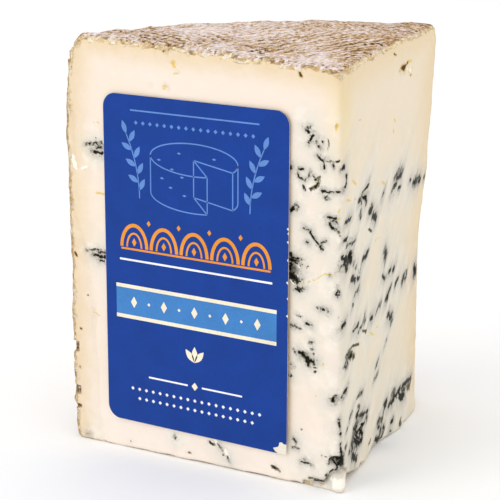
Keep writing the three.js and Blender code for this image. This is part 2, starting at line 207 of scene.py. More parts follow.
SECOND_CUT = dict(
    dark=[
        (0.6, (24, 84.7), (22, 84.3), (20.2, 83.2), (19.5, 82.4)),
        (0.55, (21.1, 81.7), (23, 81.5), (22.9, 79.5)), (0.4, (15.3, 82), (16.8, 81.7), (18.2, 80.8)),
        (0.42, (3.1, 78.4), (8.2, 78.3)), (0.4, (1.5, 73.2), (4.9, 73.6)),
        (0.4, (4.2, 71.4), (7.4, 71.2), (10.5, 70.7), (12.8, 70.9)),
        (0.85, (3.4, 68), (6.1, 67.3), (9.7, 66.1)), (0.8, (7.3, 68.4), (10, 67.3)),
        (0.36, (1, 69), (3.2, 68)), (0.42, (-0.1, 66), (2.3, 66.8), (4.5, 65.2)),
        (0.5, (9.4, 60.8), (11.4, 60), (13.4, 58.8)), (0.6, (15.2, 59.3), (17.2, 58.9)),
        (0.5, (17.7, 60.5), (19.4, 62.2), (21.2, 63)), (0.6, (20, 63), (23.4, 63.6)),
        (0.65, (12.4, 54.5), (14.3, 55.5), (16.6, 55.7)), (0.5, (10.2, 52.6), (10.8, 52.4)),
        (0.6, (1.2, 49.1), (3.6, 49.1)), (0.42, (10.4, 44.7), (12, 44.3), (13.4, 44.5)),
        (0.5, (14, 44.7), (16.6, 45.2)), (0.55, (28.5, 43.2), (30, 43.1), (31.6, 42.6)),
        (0.7, (46, 44.4), (48.3, 44.6), (50.4, 46.2)), (0.5, (50.4, 46.2), (52.6, 47.3)),
        (0.65, (57.2, 46.2), (58.8, 46.4), (60.8, 47.2)), (1, (80.4, 46), (81, 44.8), (82.6, 44)),
        (0.6, (26, 76.8), (27.6, 76.5), (28.9, 76.4)), (0.6, (30, 74.5), (31.8, 73.6), (33.7, 72.6)),
        (0.6, (41, 79.2), (39.4, 77.9)), (0.7, (49.8, 77.4), (51.6, 78.7), (54.4, 78.6)),
        (0.5, (54.4, 81), (57.8, 80.3)), (0.36, (57, 77), (59.2, 76.7)), (0.4, (70, 76.8), (72, 76.5)),
        (0.55, (74.8, 75.5), (78, 74.9), (80.5, 74.3), (83.8, 74.2)), (0.6, (88.8, 74.2), (90.2, 73.6)),
        (0.4, (42, 52.6), (44.6, 51.2)), (0.45, (49, 52), (51.8, 52.6)), (0.65, (54, 51.5), (56, 51.4)),
        (0.5, (4.2, 38.8), (7.5, 37.8)), (0.5, (2.5, 28.6), (5, 28.6)), (0.55, (7.8, 18.9), (10.4, 20.2)),
        (0.42, (14.9, 17.7), (17.4, 18.2)), (0.42, (15, 17.6), (18.6, 16.5), (22, 15.1), (27.2, 14.6)),
        (0.36, (21.1, 12.6), (24.3, 11.7)), (0.34, (11.8, 14.6), (16.8, 13.3), (18.6, 11.9)),
        (0.34, (11.1, 12.8), (15.5, 12.4), (18.6, 10.1)), (0.9, (10, 10.9), (11.3, 10.1), (10.9, 8.5)),
        (0.65, (11.4, 6.5), (13, 4.8), (15.4, 3.8)), (0.42, (14.9, 9.2), (18.4, 7.3), (21.1, 7.9)),
        (0.5, (20.5, 10.9), (21.8, 8.9)), (0.6, (0, 9), (1.7, 8.4), (1.5, 6.9)),
        (0.5, (37.6, 7.5), (40.5, 7.4)), (0.45, (38.2, 5.4), (41, 5)),
        (0.6, (44.6, 10.4), (47.2, 10.5), (47.9, 9.4)), (0.5, (44.2, 8), (46, 9.4)),
        (0.55, (50.2, 8.6), (54.3, 8.4), (58, 9.6), (59.9, 8.8)),
        (0.5, (60.5, 9.6), (65.5, 9.5), (73, 9.4), (78.4, 8.8)), (0.5, (61.8, 7.8), (64.9, 6.8), (67.8, 7)),
        (0.5, (35.6, 2.8), (39.3, 1.2), (41.8, 0.5)), (0.5, (51.2, 2.8), (53.4, 3.3)),
        (0.4, (49.3, 0.8), (51, 0.5)), (0.7, (48.4, 38.6), (50.8, 38.2), (51.8, 36.9)),
    ],
    slate=[
        (0.5, (17.3, 78.4), (17.7, 76.9)), (0.5, (4.3, 65.2), (5.4, 64.6)),
        (0.45, (11.2, 64.6), (12.2, 64.3)), (0.45, (13.2, 62.8), (14, 62.5)),
        (0.6, (23.8, 63.9), (26, 64.5)), (0.42, (16.1, 42.7), (17.2, 42.8)),
        (0.3, (18, 43.4), (19.9, 43.1)), (0.6, (23, 46.2), (21.6, 44.4), (23.1, 43.6)),
        (0.5, (35, 43.1), (37, 44), (38.9, 44.8), (40.4, 44.5)),
        (0.9, (65.4, 45.9), (67.6, 45.4), (69.8, 45.6)), (0.5, (69, 47.2), (70, 46.2)),
        (0.9, (52.6, 81.6), (56.8, 82.3), (60.2, 81)), (0.9, (44, 60.7), (44.6, 59), (45.4, 57.4)),
        (0.4, (44.6, 51.2), (46.6, 52)), (0.6, (2.5, 37.1), (6.2, 36.1)), (0.45, (3.7, 15.9), (5.6, 16.8)),
        (0.4, (3.4, 11.6), (4.4, 11.2)), (0.6, (25.6, 14), (25.8, 12.6)),
        (1.6, (13, 10), (16, 9.4), (19.4, 9.4)), (1.2, (15, 14.4), (18, 13.4)), (0.6, (7.4, 9.2), (8.6, 9)),
        (0.9, (0.3, 8.4), (1.4, 7.5)), (0.9, (41, 3.8), (44, 2.6)), (0.7, (53.2, 11), (57.2, 10.6)),
        (0.7, (65.6, 8.3), (69.2, 7.8)), (0.5, (33.2, 22.4), (35.5, 22.7), (37.8, 23.5)),
        (0.5, (35.6, 26.2), (38.4, 27.8)), (0.4, (44.4, 29.4), (45.4, 29.8)),
        (0.4, (46.4, 30.8), (47.4, 31)), (0.4, (15, 23.2), (18, 23.4), (21, 22.8)),
        (0.7, (52.4, 37.2), (53.8, 35.3)), (0.42, (0.4, 94.3), (2.2, 94.1)),
        (0.3, (-0.6, 21.8), (-0.2, 18.3), (0.1, 16)), (0.34, (0.1, 14), (0.1, 11.9), (0.6, 9.8)),
        (1, (76, 75.4), (82, 74.8)),
    ],
    olive=[
        (0.36, (28.4, 78.2), (29.3, 77.8)), (0.24, (25.3, 71.3), (27.6, 70.2), (29.7, 69.5)),
        (0.4, (2.6, 49.8), (3.6, 49.9)), (0.7, (7.7, 38), (9.2, 37.2)), (0.45, (8, 37.9), (13.2, 36.2)),
        (0.24, (6.1, 40.1), (10.5, 40.3), (17.2, 38.8)), (0.5, (12.4, 5.6), (15.6, 3.4)),
        (0.75, (41.2, 6.8), (44, 6.1)), (0.5, (71.8, 9.4), (74, 9.2)),
        (0.6, (72, 7.4), (76.6, 7), (78, 7.8)), (0.5, (58.8, 1.6), (59.6, 0)),
        (0.3, (20.8, 41.5), (24.8, 40.1)), (0.4, (28.2, 3.4), (29.8, 4.2)), (0.4, (24.4, 84.9), (25.6, 85)),
        (0.5, (16.4, 20.2), (18.2, 18.8)),
    ],
    yellow=[
        (0.45, (9.6, 89), (12.5, 87.6)), (0.45, (4, 84.5), (7.9, 83.6)), (0.3, (11, 83.6), (12.6, 83.1)),
        (0.4, (38.2, 82.9), (41.6, 81.7)), (0.36, (33.3, 66.4), (37.6, 65.8)),
        (0.34, (28.2, 39.1), (31, 37.8), (34, 36.8)), (0.3, (35, 38.8), (37.8, 37.7)),
        (0.6, (48.4, 99.7), (49.6, 99.3)), (0.6, (48.2, 96.9), (48.9, 95.9)),
        (0.6, (61.8, 115.4), (64.8, 115.4)),
        (0.4, (62, 112.6), (63, 111.4), (64.6, 111), (66.2, 111.8), (66.5, 113.2)),
        (0.5, (55.2, 113.2), (56, 112.6)),
    ],
    brown=[
        (1, (57.8, 113.6), (58.8, 114.4)), (0.5, (60.2, 115.2), (61, 115.5)),
        (0.34, (64.4, 110.9), (65.6, 111)), (0.3, (47, 119.8), (49.7, 118.8)),
        (0.26, (14.7, 105.2), (16.2, 104.9)),
    ],
    white=[(0.6, (63.8, 112.6), (64.8, 112.5)), (0.4, (61, 113.4), (61.4, 112.9))],
)
HALO_REACH = 1.5  # how far the blue has tinted the paste round a stroke 1 mm wide: wider ones, farther
VEIL_REACH = 5  # how far it has greyed it
HALO_OF = dict(dark=1, slate=0.8, olive=0.35, yellow=0, brown=0, white=0)
MIDDLE_LEVEL = 1.5  # a stroke's level in its middle, 1 more than at its edge
LOWEST_LEVEL = -2.0  # what its level is taken as, far away from it
OVER_THE_EDGE = 6  # how far past the apex a stroke still tells
SMEARED = ("dark", "slate", "olive")  # drawn out by the wire on the second cut
# How far a stroke wanders, and the places of the noise that moves it along and up.
STRAY = dict(amount=0.4, grain=2.8, fine_amount=0.1, fine_grain=1.1, shifts=[(0, 71), (37, 93)])

# ---- Other places on the skin ----

# Small open pits in the cuts, and flakes left standing: place round the apex, height, radius, and how deep
# or how proud.
PITS = [
    (-55, 119.8, 0.8, 0.7), (-53.7, 117.5, 0.8, 0.4), (-62.8, 113.1, 0.9, 0.7), (-57.5, 112.8, 1.5, 0.9),
    (-57.4, 123.1, 1.1, 1.4), (-12.8, 119.3, 1.1, 0.5), (-7.8, 101, 0.5, 0.8), (-6.8, 99.7, 0.6, 0.8),
    (-15.8, 63.4, 1.5, 1.2), (-1.5, 105.9, 0.5, 0.4), (58.4, 114.1, 1.6, 0.3), (81.5, 45, 1.4, 0.8),
    (-82, 91.8, 1.4, 0.6), (-82, 59.4, 1.4, 0.6),
]
FLAKES = [(-91.4, 89, 1.1, 0.4), (-91.2, 86.8, 1, 0.4), (-87.4, 86.3, 1, 0.25), (-6.2, 18.4, 0.5, 0.2)]
# How far the rind has tinted the paste: under the top and in from the wall, on each cut.
CRUST_REACH = dict(top=(9, 12), wall=(12, 24))
FOOT_PASTE = 1.5  # how far the paste wraps round the foot
WALL_CRUMBS = 0.7  # how far in from the wall the cuts are crumbled
EDGE_REACH = 6  # how far from a cut's border the material is told of it
# Where each of these starts and where it is full: a cut, by how far out of its border; the top, by how far
# below it; the second cut, by the place round the apex; and the top's tan, by the share of the way round.
ON_CUT = (1, -0.5)
ON_TOP = (4, 0.5)
ON_SECOND = (-2, 2.5)
TANNED = (0.55, 0.9)
OUTER_REACH = 2.5  # of the dark line along the top's outer edge
# Patches of open holes in the top, and of pale bloom on it: a place about the axis and a reach.
HOLED = [
    (-12.2, 42.3, 4.5), (-6, 39.6, 3), (-32.4, 10.5, 4), (-37.6, 15.3, 3), (-69.6, 7.7, 4.5), (-61, 4, 3),
]
BLOOMED = [(-66, 33, 16), (-44, 44, 13), (-13, 12, 10)]
WORN = dict(reach=9, away=(20, 55))  # the top's bare edge over the label, and where it is by the apex
LABEL_SHADOW_PAINT = dict(reach=0.7, fade=5)  # painted shadow on the paste beside the label's right edge
WARM = dict(place=2.5, reach=6.5, heights=(84, 118))  # a yellower streak down the apex

# ---- Small helpers ----


def lerp(a, b, t):
    return a + (b - a) * t


def smoothstep(value, low, high):
    t = np.clip((value - low) / (high - low), 0, 1)
    return t * t * (3 - 2 * t)


def lattice_value(x, y, z):
    """A repeatable random number from 0 to 1 for each point of a whole-number lattice."""
    mixed = x * np.uint32(374761393) ^ y * np.uint32(668265263) ^ z * np.uint32(974634777)
    stirred = (mixed ^ (mixed >> np.uint32(13))) * np.uint32(1274126177)
    return (stirred ^ (stirred >> np.uint32(16))) / 0xFFFFFFFF


def noise(points, grain):
    """Smooth noise from -1 to 1, whose lumps are about `grain` across, which may differ by axis."""
    place = points / np.asarray(grain, float)
    cell = np.floor(place)
    a, b, c = np.moveaxis(smoothstep(place - cell, 0, 1), -1, 0)
    i, j, k = np.moveaxis(cell.astype(np.int64).astype(np.uint32), -1, 0)
    one = np.uint32(1)

    def edge(j, k):
        return lerp(lattice_value(i, j, k), lattice_value(i + one, j, k), a)

    near = lerp(edge(j, k), edge(j + one, k), b)
    far = lerp(edge(j, k + one), edge(j + one, k + one), b)
    return 2 * lerp(near, far, c) - 1


def soft_min(a, b, width):
    """The smaller of two lengths, rounded over where they are within `width` of each other."""
    overlap = np.maximum(width - np.abs(a - b), 0) / width
    return np.minimum(a, b) - overlap * overlap * width / 4


def distance_to_path(points, place, height):
    """How far each spot lies from the path through the points."""
    spots = np.stack([place, height], -1)
    found = np.full(len(place), FAR)
    for start, end in zip(np.array(points[:-1], float), np.array(points[1:], float)):
        along = end - start
        share = np.clip((spots - start) @ along / (along @ along), 0, 1)
        away = spots - start - share[:, None] * along
        found = np.minimum(found, np.hypot(away[:, 0], away[:, 1]))
    return found


def added(name, data):
    """A new object in the scene."""
    found = bpy.data.objects.new(name, data)
    bpy.context.scene.collection.objects.link(found)
    return found


def with_height(spots, height):
    """Points above level spots."""
    return np.column_stack([spots, np.broadcast_to(height, len(spots))])


# ---- The surfaces of the wedge, about the wheel's axis ----

BISECTOR = math.pi - WEDGE["angle"] / 2
CORE = CORE_REACH * np.array([math.cos(BISECTOR), math.sin(BISECTOR)])


def angle_at(height):
    """The angle between the cuts, which is narrower lower down."""
    untwisted = smoothstep(height, WEDGE["full_twist"], WEDGE["untwisted_above"])
    return WEDGE["angle"] - WEDGE["twist"] * (1 - untwisted)


def second_cut_direction(height):
    bearing = math.pi - angle_at(height)
    return np.stack([np.cos(bearing), np.sin(bearing)], -1)


def share_round(points):
    """How far round the axis points lie, from 0 on the labelled cut to 1 on the second."""
    return np.clip((math.pi - np.arctan2(points[:, 1], points[:, 0])) / WEDGE["angle"], 0, 1)


def distance_round_apex(points):
    """The distance of a point from the axis along its own cut, below 0 on the labelled one."""
    along_second = (second_cut_direction(points[:, 2]) * points[:, :2]).sum(-1)
    return (along_second + points[:, 0]) / (1 - np.cos(angle_at(points[:, 2])))


def rind_relief(points):
    coarse = RIND["relief"] * noise(points, RIND["grain"])
    fine = RIND["fine_relief"] * noise(points, RIND["fine_grain"])
    knobs = FINE_RIND["knobs"] * np.maximum(noise(points, FINE_RIND["knob_grain"]), 0)
    return coarse + fine + knobs + FINE_RIND["relief"] * noise(points, FINE_RIND["grain"])


def crumble(points, below):
    """How deep the rim has crumbled at points that lie `below` it or as far in from it."""
    found = 0
    for way in (CRUMBLE, FINE_CRUMBLE):
        bite = np.maximum(noise(points, way["grain"]) + way["cover"], 0)
        found = found + way["depth"] * bite * (1 - smoothstep(below, 0, way["reach"]))
    return found


def depth_of(spots, place, height):
    """The depth of a list of raised or hollow places."""
    found = 0
    for at, up, half_width, half_height, depth in spots:
        away = np.hypot((place - at) / half_width, (height - up) / half_height)
        found = np.maximum(found, depth * (1 - smoothstep(away, SPOT_MIDDLE, 1)))
    return found


def smeared(spots):
    """Spots of the second cut, turned so that the first axis runs with the smears and drawn in along it."""
    cos, sin = math.cos(SMEARS["slope"]), math.sin(SMEARS["slope"])
    return spots @ np.array([[cos / SMEARS["stretch"], -sin], [sin / SMEARS["stretch"], cos]])


def wandering(points):
    """How far aside the strokes are looked up at each point, so that their edges aren't smooth."""
    asides = []
    for shift, fine_shift in STRAY["shifts"]:
        coarse = STRAY["amount"] * noise(points + shift, STRAY["grain"])
        asides.append(coarse + STRAY["fine_amount"] * noise(points + fine_shift, STRAY["fine_grain"]))
    return np.stack(asides, -1)


def blue(points, place):
    """The level of each kind of stroke, and the halo and veil round them, at points on the cuts."""
    levels = {kind: np.full(len(points), LOWEST_LEVEL) for kind in HALO_OF}
    halo, veil = np.zeros((2, len(points)))
    spots = np.stack([place, points[:, 2]], -1)
    astray = spots + wandering(points)
    for side, cut in ((-1, LABELLED_CUT), (1, SECOND_CUT)):
        near = side * place > -OVER_THE_EDGE
        for kind, strokes in cut.items():
            laid = smeared if side > 0 and kind in SMEARED else np.copy
            true, moved = laid(spots[near]), laid(astray[near])
            for half_width, *path in strokes:
                points_laid = laid(np.array([(side * s, z + VEIN_LIFT) for s, z in path]))
                level = MIDDLE_LEVEL - distance_to_path(points_laid, *moved.T) / half_width
                levels[kind][near] = np.maximum(levels[kind][near], level)
                away = np.maximum(distance_to_path(points_laid, *true.T) - half_width, 0)
                near_by = np.exp(-away / (HALO_REACH * (0.5 + half_width)))
                halo[near] = np.maximum(halo[near], HALO_OF[kind] * near_by)
                veil[near] = np.maximum(veil[near], HALO_OF[kind] * np.exp(-away / VEIL_REACH))
    return levels, halo, veil


def fine_cut_depth(points, place):
    """The relief of a cut that is finer than the solid's: grain, smears, pits and the open blue."""
    grain = GRAINS["depth"] * noise(points, GRAINS["grain"])
    along, across = smeared(np.stack([place, points[:, 2]], -1)).T
    laid = np.stack([along * SMEARS["stretch"], across, 0 * along], -1)
    lines = noise(laid, (SMEARS["length"], SMEARS["spacing"], 1))
    second = smoothstep(place, *ROUND_THE_APEX)
    heights = points[:, 2] - VEIN_LIFT
    round_spots = ([(at, up, r, r, depth) for at, up, r, depth in spots] for spots in (PITS, FLAKES))
    pits, flakes = (depth_of(spots, place, heights) for spots in round_spots)
    levels, _, _ = blue(points, place)
    open_blue = np.clip(np.maximum(levels["dark"], VEIN_PITS["olive"] * levels["olive"]), 0, 1)
    uneven = lerp(1, noise(points, VEIN_PITS["grain"]), VEIN_PITS["uneven"])
    opened = lerp(*VEIN_PITS["depths"], second) * open_blue * uneven
    return grain + SMEARS["depth"] * lines * second + pits - flakes + opened


def cut_depth(points):
    """How far a cut face lies inside its plane."""
    place = distance_round_apex(points)
    height = points[:, 2]
    waves = PASTE["relief"] * (1 + noise(points, PASTE["grain"])) / 2
    to_crack = distance_to_path(CRACK["path"], place, height)
    crack = CRACK["depth"] * (1 - smoothstep(to_crack, 0, CRACK["width"]))
    border = np.interp(place, *np.array(BROKEN_FOOT["border"], float).T)
    border = border + FINE_FOOT["scallops"] * noise(points, FINE_FOOT["grain"]) * np.minimum(border, 1)
    nibbled = noise(points, FINE_FOOT["nibble_grain"]) + FINE_FOOT["nibble_cover"]
    border = np.maximum(border, FINE_FOOT["nibbles"] * nibbled)
    broken = BROKEN_FOOT["slope"] * np.maximum(border - height, 0)
    rim = crumble(points, plain_top(points) - height)
    spots = depth_of(HOLLOWS, place, height) - depth_of(SWELLINGS, place, height)
    return waves + crack + broken + rim + spots + fine_cut_depth(points, place)


def wall_radius(points):
    labelled, second = (np.interp(points[:, 2], *zip(*WALL[cut])) for cut in ("labelled", "second"))
    return lerp(labelled, second, smoothstep(share_round(points), WALL["start"], 1)) + rind_relief(points)


def reach_of_cut(directions, heights, outward):
    """The distance from the core to a cut, along level directions. `outward` is the cut's own."""
    approach = (directions * outward).sum(-1)
    meets = approach >= GRAZING
    reach = np.full(len(heights), FAR)
    outward = np.broadcast_to(outward, directions.shape)[meets]
    to_plane = -(outward @ CORE) / approach[meets]
    hits = with_height(CORE + directions[meets] * to_plane[:, None], heights[meets])
    reach[meets] = to_plane - cut_depth(hits) / approach[meets]
    return reach


def reach_of_wall(directions, heights):
    approach = directions @ CORE
    reach = np.full(len(heights), WHEEL["radius"] - CORE_REACH)
    for _ in range(WALL_PASSES):
        radius = wall_radius(with_height(CORE + directions * reach[:, None], heights))
        reach = -approach + np.sqrt(approach**2 + radius**2 - CORE_REACH**2)
    return reach


def reach_of(directions, heights):
    """The distance from the core to the wedge's upright skin."""
    along = second_cut_direction(heights)
    labelled = reach_of_cut(directions, heights, np.array([0.0, -1.0]))
    second = reach_of_cut(directions, heights, np.stack([along[:, 1], -along[:, 0]], -1))
    cuts = soft_min(labelled, second, ROUND["apex"])
    return soft_min(cuts, reach_of_wall(directions, heights), ROUND["outer"])


def plain_top(points):
    """The height of the dished top without its relief."""
    away = np.hypot(points[:, 0], points[:, 1])
    labelled = DISH["labelled_rise"] * (away / WHEEL["radius"]) ** DISH["curve"]
    second = DISH["second_rise"] * np.minimum(away / DISH["second_crest"], 1) ** DISH["curve"]
    return WHEEL["height"] + lerp(labelled, second, share_round(points))


def in_from_cuts(points):
    """How far inside the nearer cut's plane points lie."""
    along = second_cut_direction(points[:, 2])
    second = -points[:, 0] * along[:, 1] + points[:, 1] * along[:, 0]
    return np.minimum(points[:, 1], second)


def wrinkle_lay(points, kind):
    """How far each point of the top lies across a set of wrinkles, and how strong they are there."""
    bearing, middle, reach = WRINKLE_SETS[kind]
    turn = math.radians(bearing)
    across = points[:, 1] * math.cos(turn) - points[:, 0] * math.sin(turn)
    across = across + WRINKLES["sway"] * noise(points, WRINKLES["sway_grain"])
    away = np.hypot(points[:, 0] - middle[0], points[:, 1] - middle[1]) / reach
    frayed = away + WRINKLES["fray"] * noise(points, WRINKLES["fray_grain"])
    return across, 1 - smoothstep(frayed, WRINKLES["full"], 1)


def top_height(spots):
    points = with_height(spots, WHEEL["height"])
    bitten = crumble(points, in_from_cuts(points))
    wrinkled = 0
    for kind in WRINKLE_SETS:
        across, strength = wrinkle_lay(points, kind)
        wrinkled = wrinkled + np.maximum(np.sin(2 * math.pi * across / WRINKLES["spacing"]), 0) * strength
    return plain_top(points) + rind_relief(points) - bitten - WRINKLES["depth"] * wrinkled


def base_height(spots):
    from_core = np.hypot(*(spots - CORE).T)
    hollow = np.maximum(noise(with_height(spots, 0), BASE["grain"]) + BASE["cover"], 0)
    return BASE["depth"] * hollow * smoothstep(from_core, BASE["flat_reach"], 2 * BASE["flat_reach"])


# ---- The cheese's fine skin ----

# Stretches of columns round the wedge: to this distance from the apex, this far apart.
LABELLED_COLUMNS = [(17.6, 0.4), (80, 0.95), (92.6, 0.7)]
SECOND_COLUMNS = [(92.6, 0.6)]
WALL_COLUMN = 2.3
ROWS = dict(base=8, foot=3, rim=4)
# Rows by shares: of the side's height, and of the way from the rim to the middle of the top.
SIDE_ROWS = [(0.85, 0.0045), (0.94, 0.008), (1, 0.0033)]
TOP_ROWS = [(0.16, 0.012), (1, 0.026)]


def stops(stretches):
    """The places of columns or rows along stretches, each given by its end and its spacing."""
    found = [np.zeros(1)]
    for end, spacing in stretches:
        start = found[-1][-1]
        found.append(np.linspace(start, end, round((end - start) / spacing) + 1)[1:])
    return np.concatenate(found)


def column_directions():
    outer = WHEEL["radius"]
    labelled = stops(LABELLED_COLUMNS)[1:]
    second = stops(SECOND_COLUMNS)[::-1][1:]
    wall = np.linspace(0, WEDGE["angle"], round(WEDGE["angle"] * outer / WALL_COLUMN) + 1)[1:]
    along = second_cut_direction(WHEEL["height"])
    spots = [
        np.stack([-labelled, 0 * labelled], -1),
        outer * np.stack([-np.cos(wall), np.sin(wall)], -1),
        second[:, None] * along,
    ]
    directions = np.concatenate(spots) - CORE
    return directions / np.linalg.norm(directions, axis=1, keepdims=True)


def skin_rows():
    """The points of the skin, row by row, from the middle of the base to the middle of the top."""
    directions = column_directions()
    count = len(directions)

    def row(reach, height):
        return with_height(CORE + directions * reach[:, None], height)

    def level(height):
        return reach_of(directions, np.full(count, float(height)))

    rows = []
    base_reach = level(0) - ROUND["foot"]
    for step in np.arange(1, ROWS["base"] + 1) / ROWS["base"]:
        spots = CORE + directions * (base_reach * step)[:, None]
        rows.append(with_height(spots, base_height(spots)))
    for turn in np.arange(1, ROWS["foot"] + 1) / ROWS["foot"] * math.pi / 2:
        height = ROUND["foot"] * (1 - math.cos(turn))
        rows.append(row(level(height) - ROUND["foot"] * (1 - math.sin(turn)), height))
    side_top = np.full(count, float(WHEEL["height"]))
    for _ in range(RIM_PASSES):
        spots = CORE + directions * reach_of(directions, side_top)[:, None]
        side_top = top_height(spots) - ROUND["rim"]
    rim_reach = reach_of(directions, side_top)
    for step in stops(SIDE_ROWS)[1:]:
        heights = lerp(ROUND["foot"], side_top, step)
        rows.append(row(reach_of(directions, heights), heights))
    edge = rim_reach - ROUND["rim"]
    for turn in np.arange(1, ROWS["rim"] + 1) / ROWS["rim"] * math.pi / 2:
        reach = rim_reach - ROUND["rim"] * (1 - math.cos(turn))
        drop = ROUND["rim"] * (1 - math.sin(turn))
        rows.append(row(reach, top_height(CORE + directions * reach[:, None]) - drop))
    for step in stops(TOP_ROWS)[1:-1]:
        reach = edge * (1 - step)
        rows.append(row(reach, top_height(CORE + directions * reach[:, None])))
    return rows


def closed_skin(rows, under, over):
    """Vertices and faces of a closed skin of rows, between a point under them and one over them."""
    width = len(rows[0])
    corner = 1 + np.arange(len(rows) * width).reshape(len(rows), width)
    beside = np.roll(corner, -1, 1)
    quads = np.stack([corner[:-1], corner[1:], beside[1:], beside[:-1]], -1).reshape(-1, 4)
    last = 1 + len(rows) * width
    first_fan = np.stack([0 * corner[0], corner[0], beside[0]], -1)
    last_fan = np.stack([0 * corner[0] + last, beside[-1], corner[-1]], -1)
    places = np.concatenate([[under], *rows, [over]])
    return places, quads.tolist() + first_fan.tolist() + last_fan.tolist()


def skin_facts(points):
    """What the material reads at each point of the skin."""
    place = distance_round_apex(points)
    inside = in_from_cuts(points)
    from_wall = wall_radius(points) - np.hypot(points[:, 0], points[:, 1])
    under_top = plain_top(points) - points[:, 2]
    into_cut = np.minimum(from_wall - WALL_CRUMBS, under_top)
    into_cut = np.minimum(into_cut, points[:, 2] + FOOT_PASTE)
    edge = inside - np.maximum(into_cut, 0)
    on_cut = smoothstep(edge, *ON_CUT)
    levels, halo, veil = blue(points, place)
    facts = {kind: lerp(LOWEST_LEVEL, level, on_cut) for kind, level in levels.items()}
    facts["halo"], facts["veil"] = halo * on_cut, veil * on_cut
    facts["edge"] = np.clip(edge, -EDGE_REACH, EDGE_REACH)
    facts["top"] = smoothstep(under_top, *ON_TOP)
    facts["second"] = smoothstep(place, *ON_SECOND)
    reach = {way: lerp(*CRUST_REACH[way], facts["second"]) for way in CRUST_REACH}
    facts["crust"] = 1 - np.minimum(from_wall / reach["wall"], under_top / reach["top"])
    for name, patches in (("holed", HOLED), ("bloomed", BLOOMED)):
        away = [np.hypot(points[:, 0] - x, points[:, 1] - y) / reach for x, y, reach in patches]
        facts[name] = facts["top"] * (1 - smoothstep(np.min(away, 0), 0, 1))
    facts["tanned"] = facts["top"] * smoothstep(share_round(points), *TANNED)
    facts["outer"] = facts["top"] * np.exp(-np.maximum(from_wall, 0) / OUTER_REACH)
    for kind in WRINKLE_SETS:
        facts[kind + "_across"], strength = wrinkle_lay(points, kind)
        facts[kind] = strength * facts["top"]
    by_edge = np.exp(-np.maximum(points[:, 1], 0) / WORN["reach"])
    facts["worn"] = by_edge * smoothstep(-place, *WORN["away"])
    # Painted shadow: the paste is darkened in a strip along the label's right edge, fading out past its top
    # and foot.
    right, half_height = LABEL["from_axis"] - LABEL["width"] / 2, LABEL["height"] / 2
    beside_label = np.exp(-np.abs(right + place) / LABEL_SHADOW_PAINT["reach"])
    past_label = np.abs(points[:, 2] - LABEL["centre"]) - half_height
    facts["painted_label_shadow"] = beside_label * smoothstep(past_label, 0, -LABEL_SHADOW_PAINT["fade"]) * on_cut
    facts["height"] = points[:, 2] / WHEEL["height"]
    beside_apex = np.exp(-(((place - WARM["place"]) / WARM["reach"]) ** 2))
    facts["warm"] = beside_apex * smoothstep(points[:, 2], *WARM["heights"])
    return facts


def cheese_piece():
    rows = skin_rows()
    middle_top = top_height(CORE[None])[0]
    places, faces = closed_skin(rows, (*CORE, 0), (*CORE, middle_top))
    mesh = bpy.data.meshes.new("cheese_wedge")
    mesh.from_pydata(((places + AXIS_FOOT) * MM).tolist(), [], faces)
    mesh.polygons.foreach_set("use_smooth", np.ones(len(mesh.polygons), bool))
    for name, values in skin_facts(places).items():
        mesh.attributes.new(name, "FLOAT", "POINT").data.foreach_set("value", values.astype(np.float32))
    mesh.materials.append(cheese_material())
    return added("cheese_wedge", mesh)


# ---- Materials ----


class Value:
    """A number or a colour in a material's nodes. A sum on it adds the node that works it out."""

    def __init__(self, shader, socket):
        self.shader, self.socket = shader, socket

    def math(self, operation, other=0.0):
        return self.shader.node("ShaderNodeMath", 0, {0: self, 1: other}, operation=operation)

    def __add__(self, other):
        return self.math("ADD", other)

    def __sub__(self, other):
        return self.math("SUBTRACT", other)

    def __mul__(self, other):
        return self.math("MULTIPLY", other)

    def __abs__(self):
        return self.math("ABSOLUTE")

    def ease(self, low, high, start=0.0, end=1.0):
        """A number that turns softly from start to end while this one goes from low to high."""
        inputs = dict(enumerate((self, low, high, start, end)))
        return self.shader.node("ShaderNodeMapRange", 0, inputs, interpolation_type="SMOOTHSTEP")

    def under(self, colour, share):
        """This colour with another over a share of it."""
        return self.shader.mix(share, self, colour)


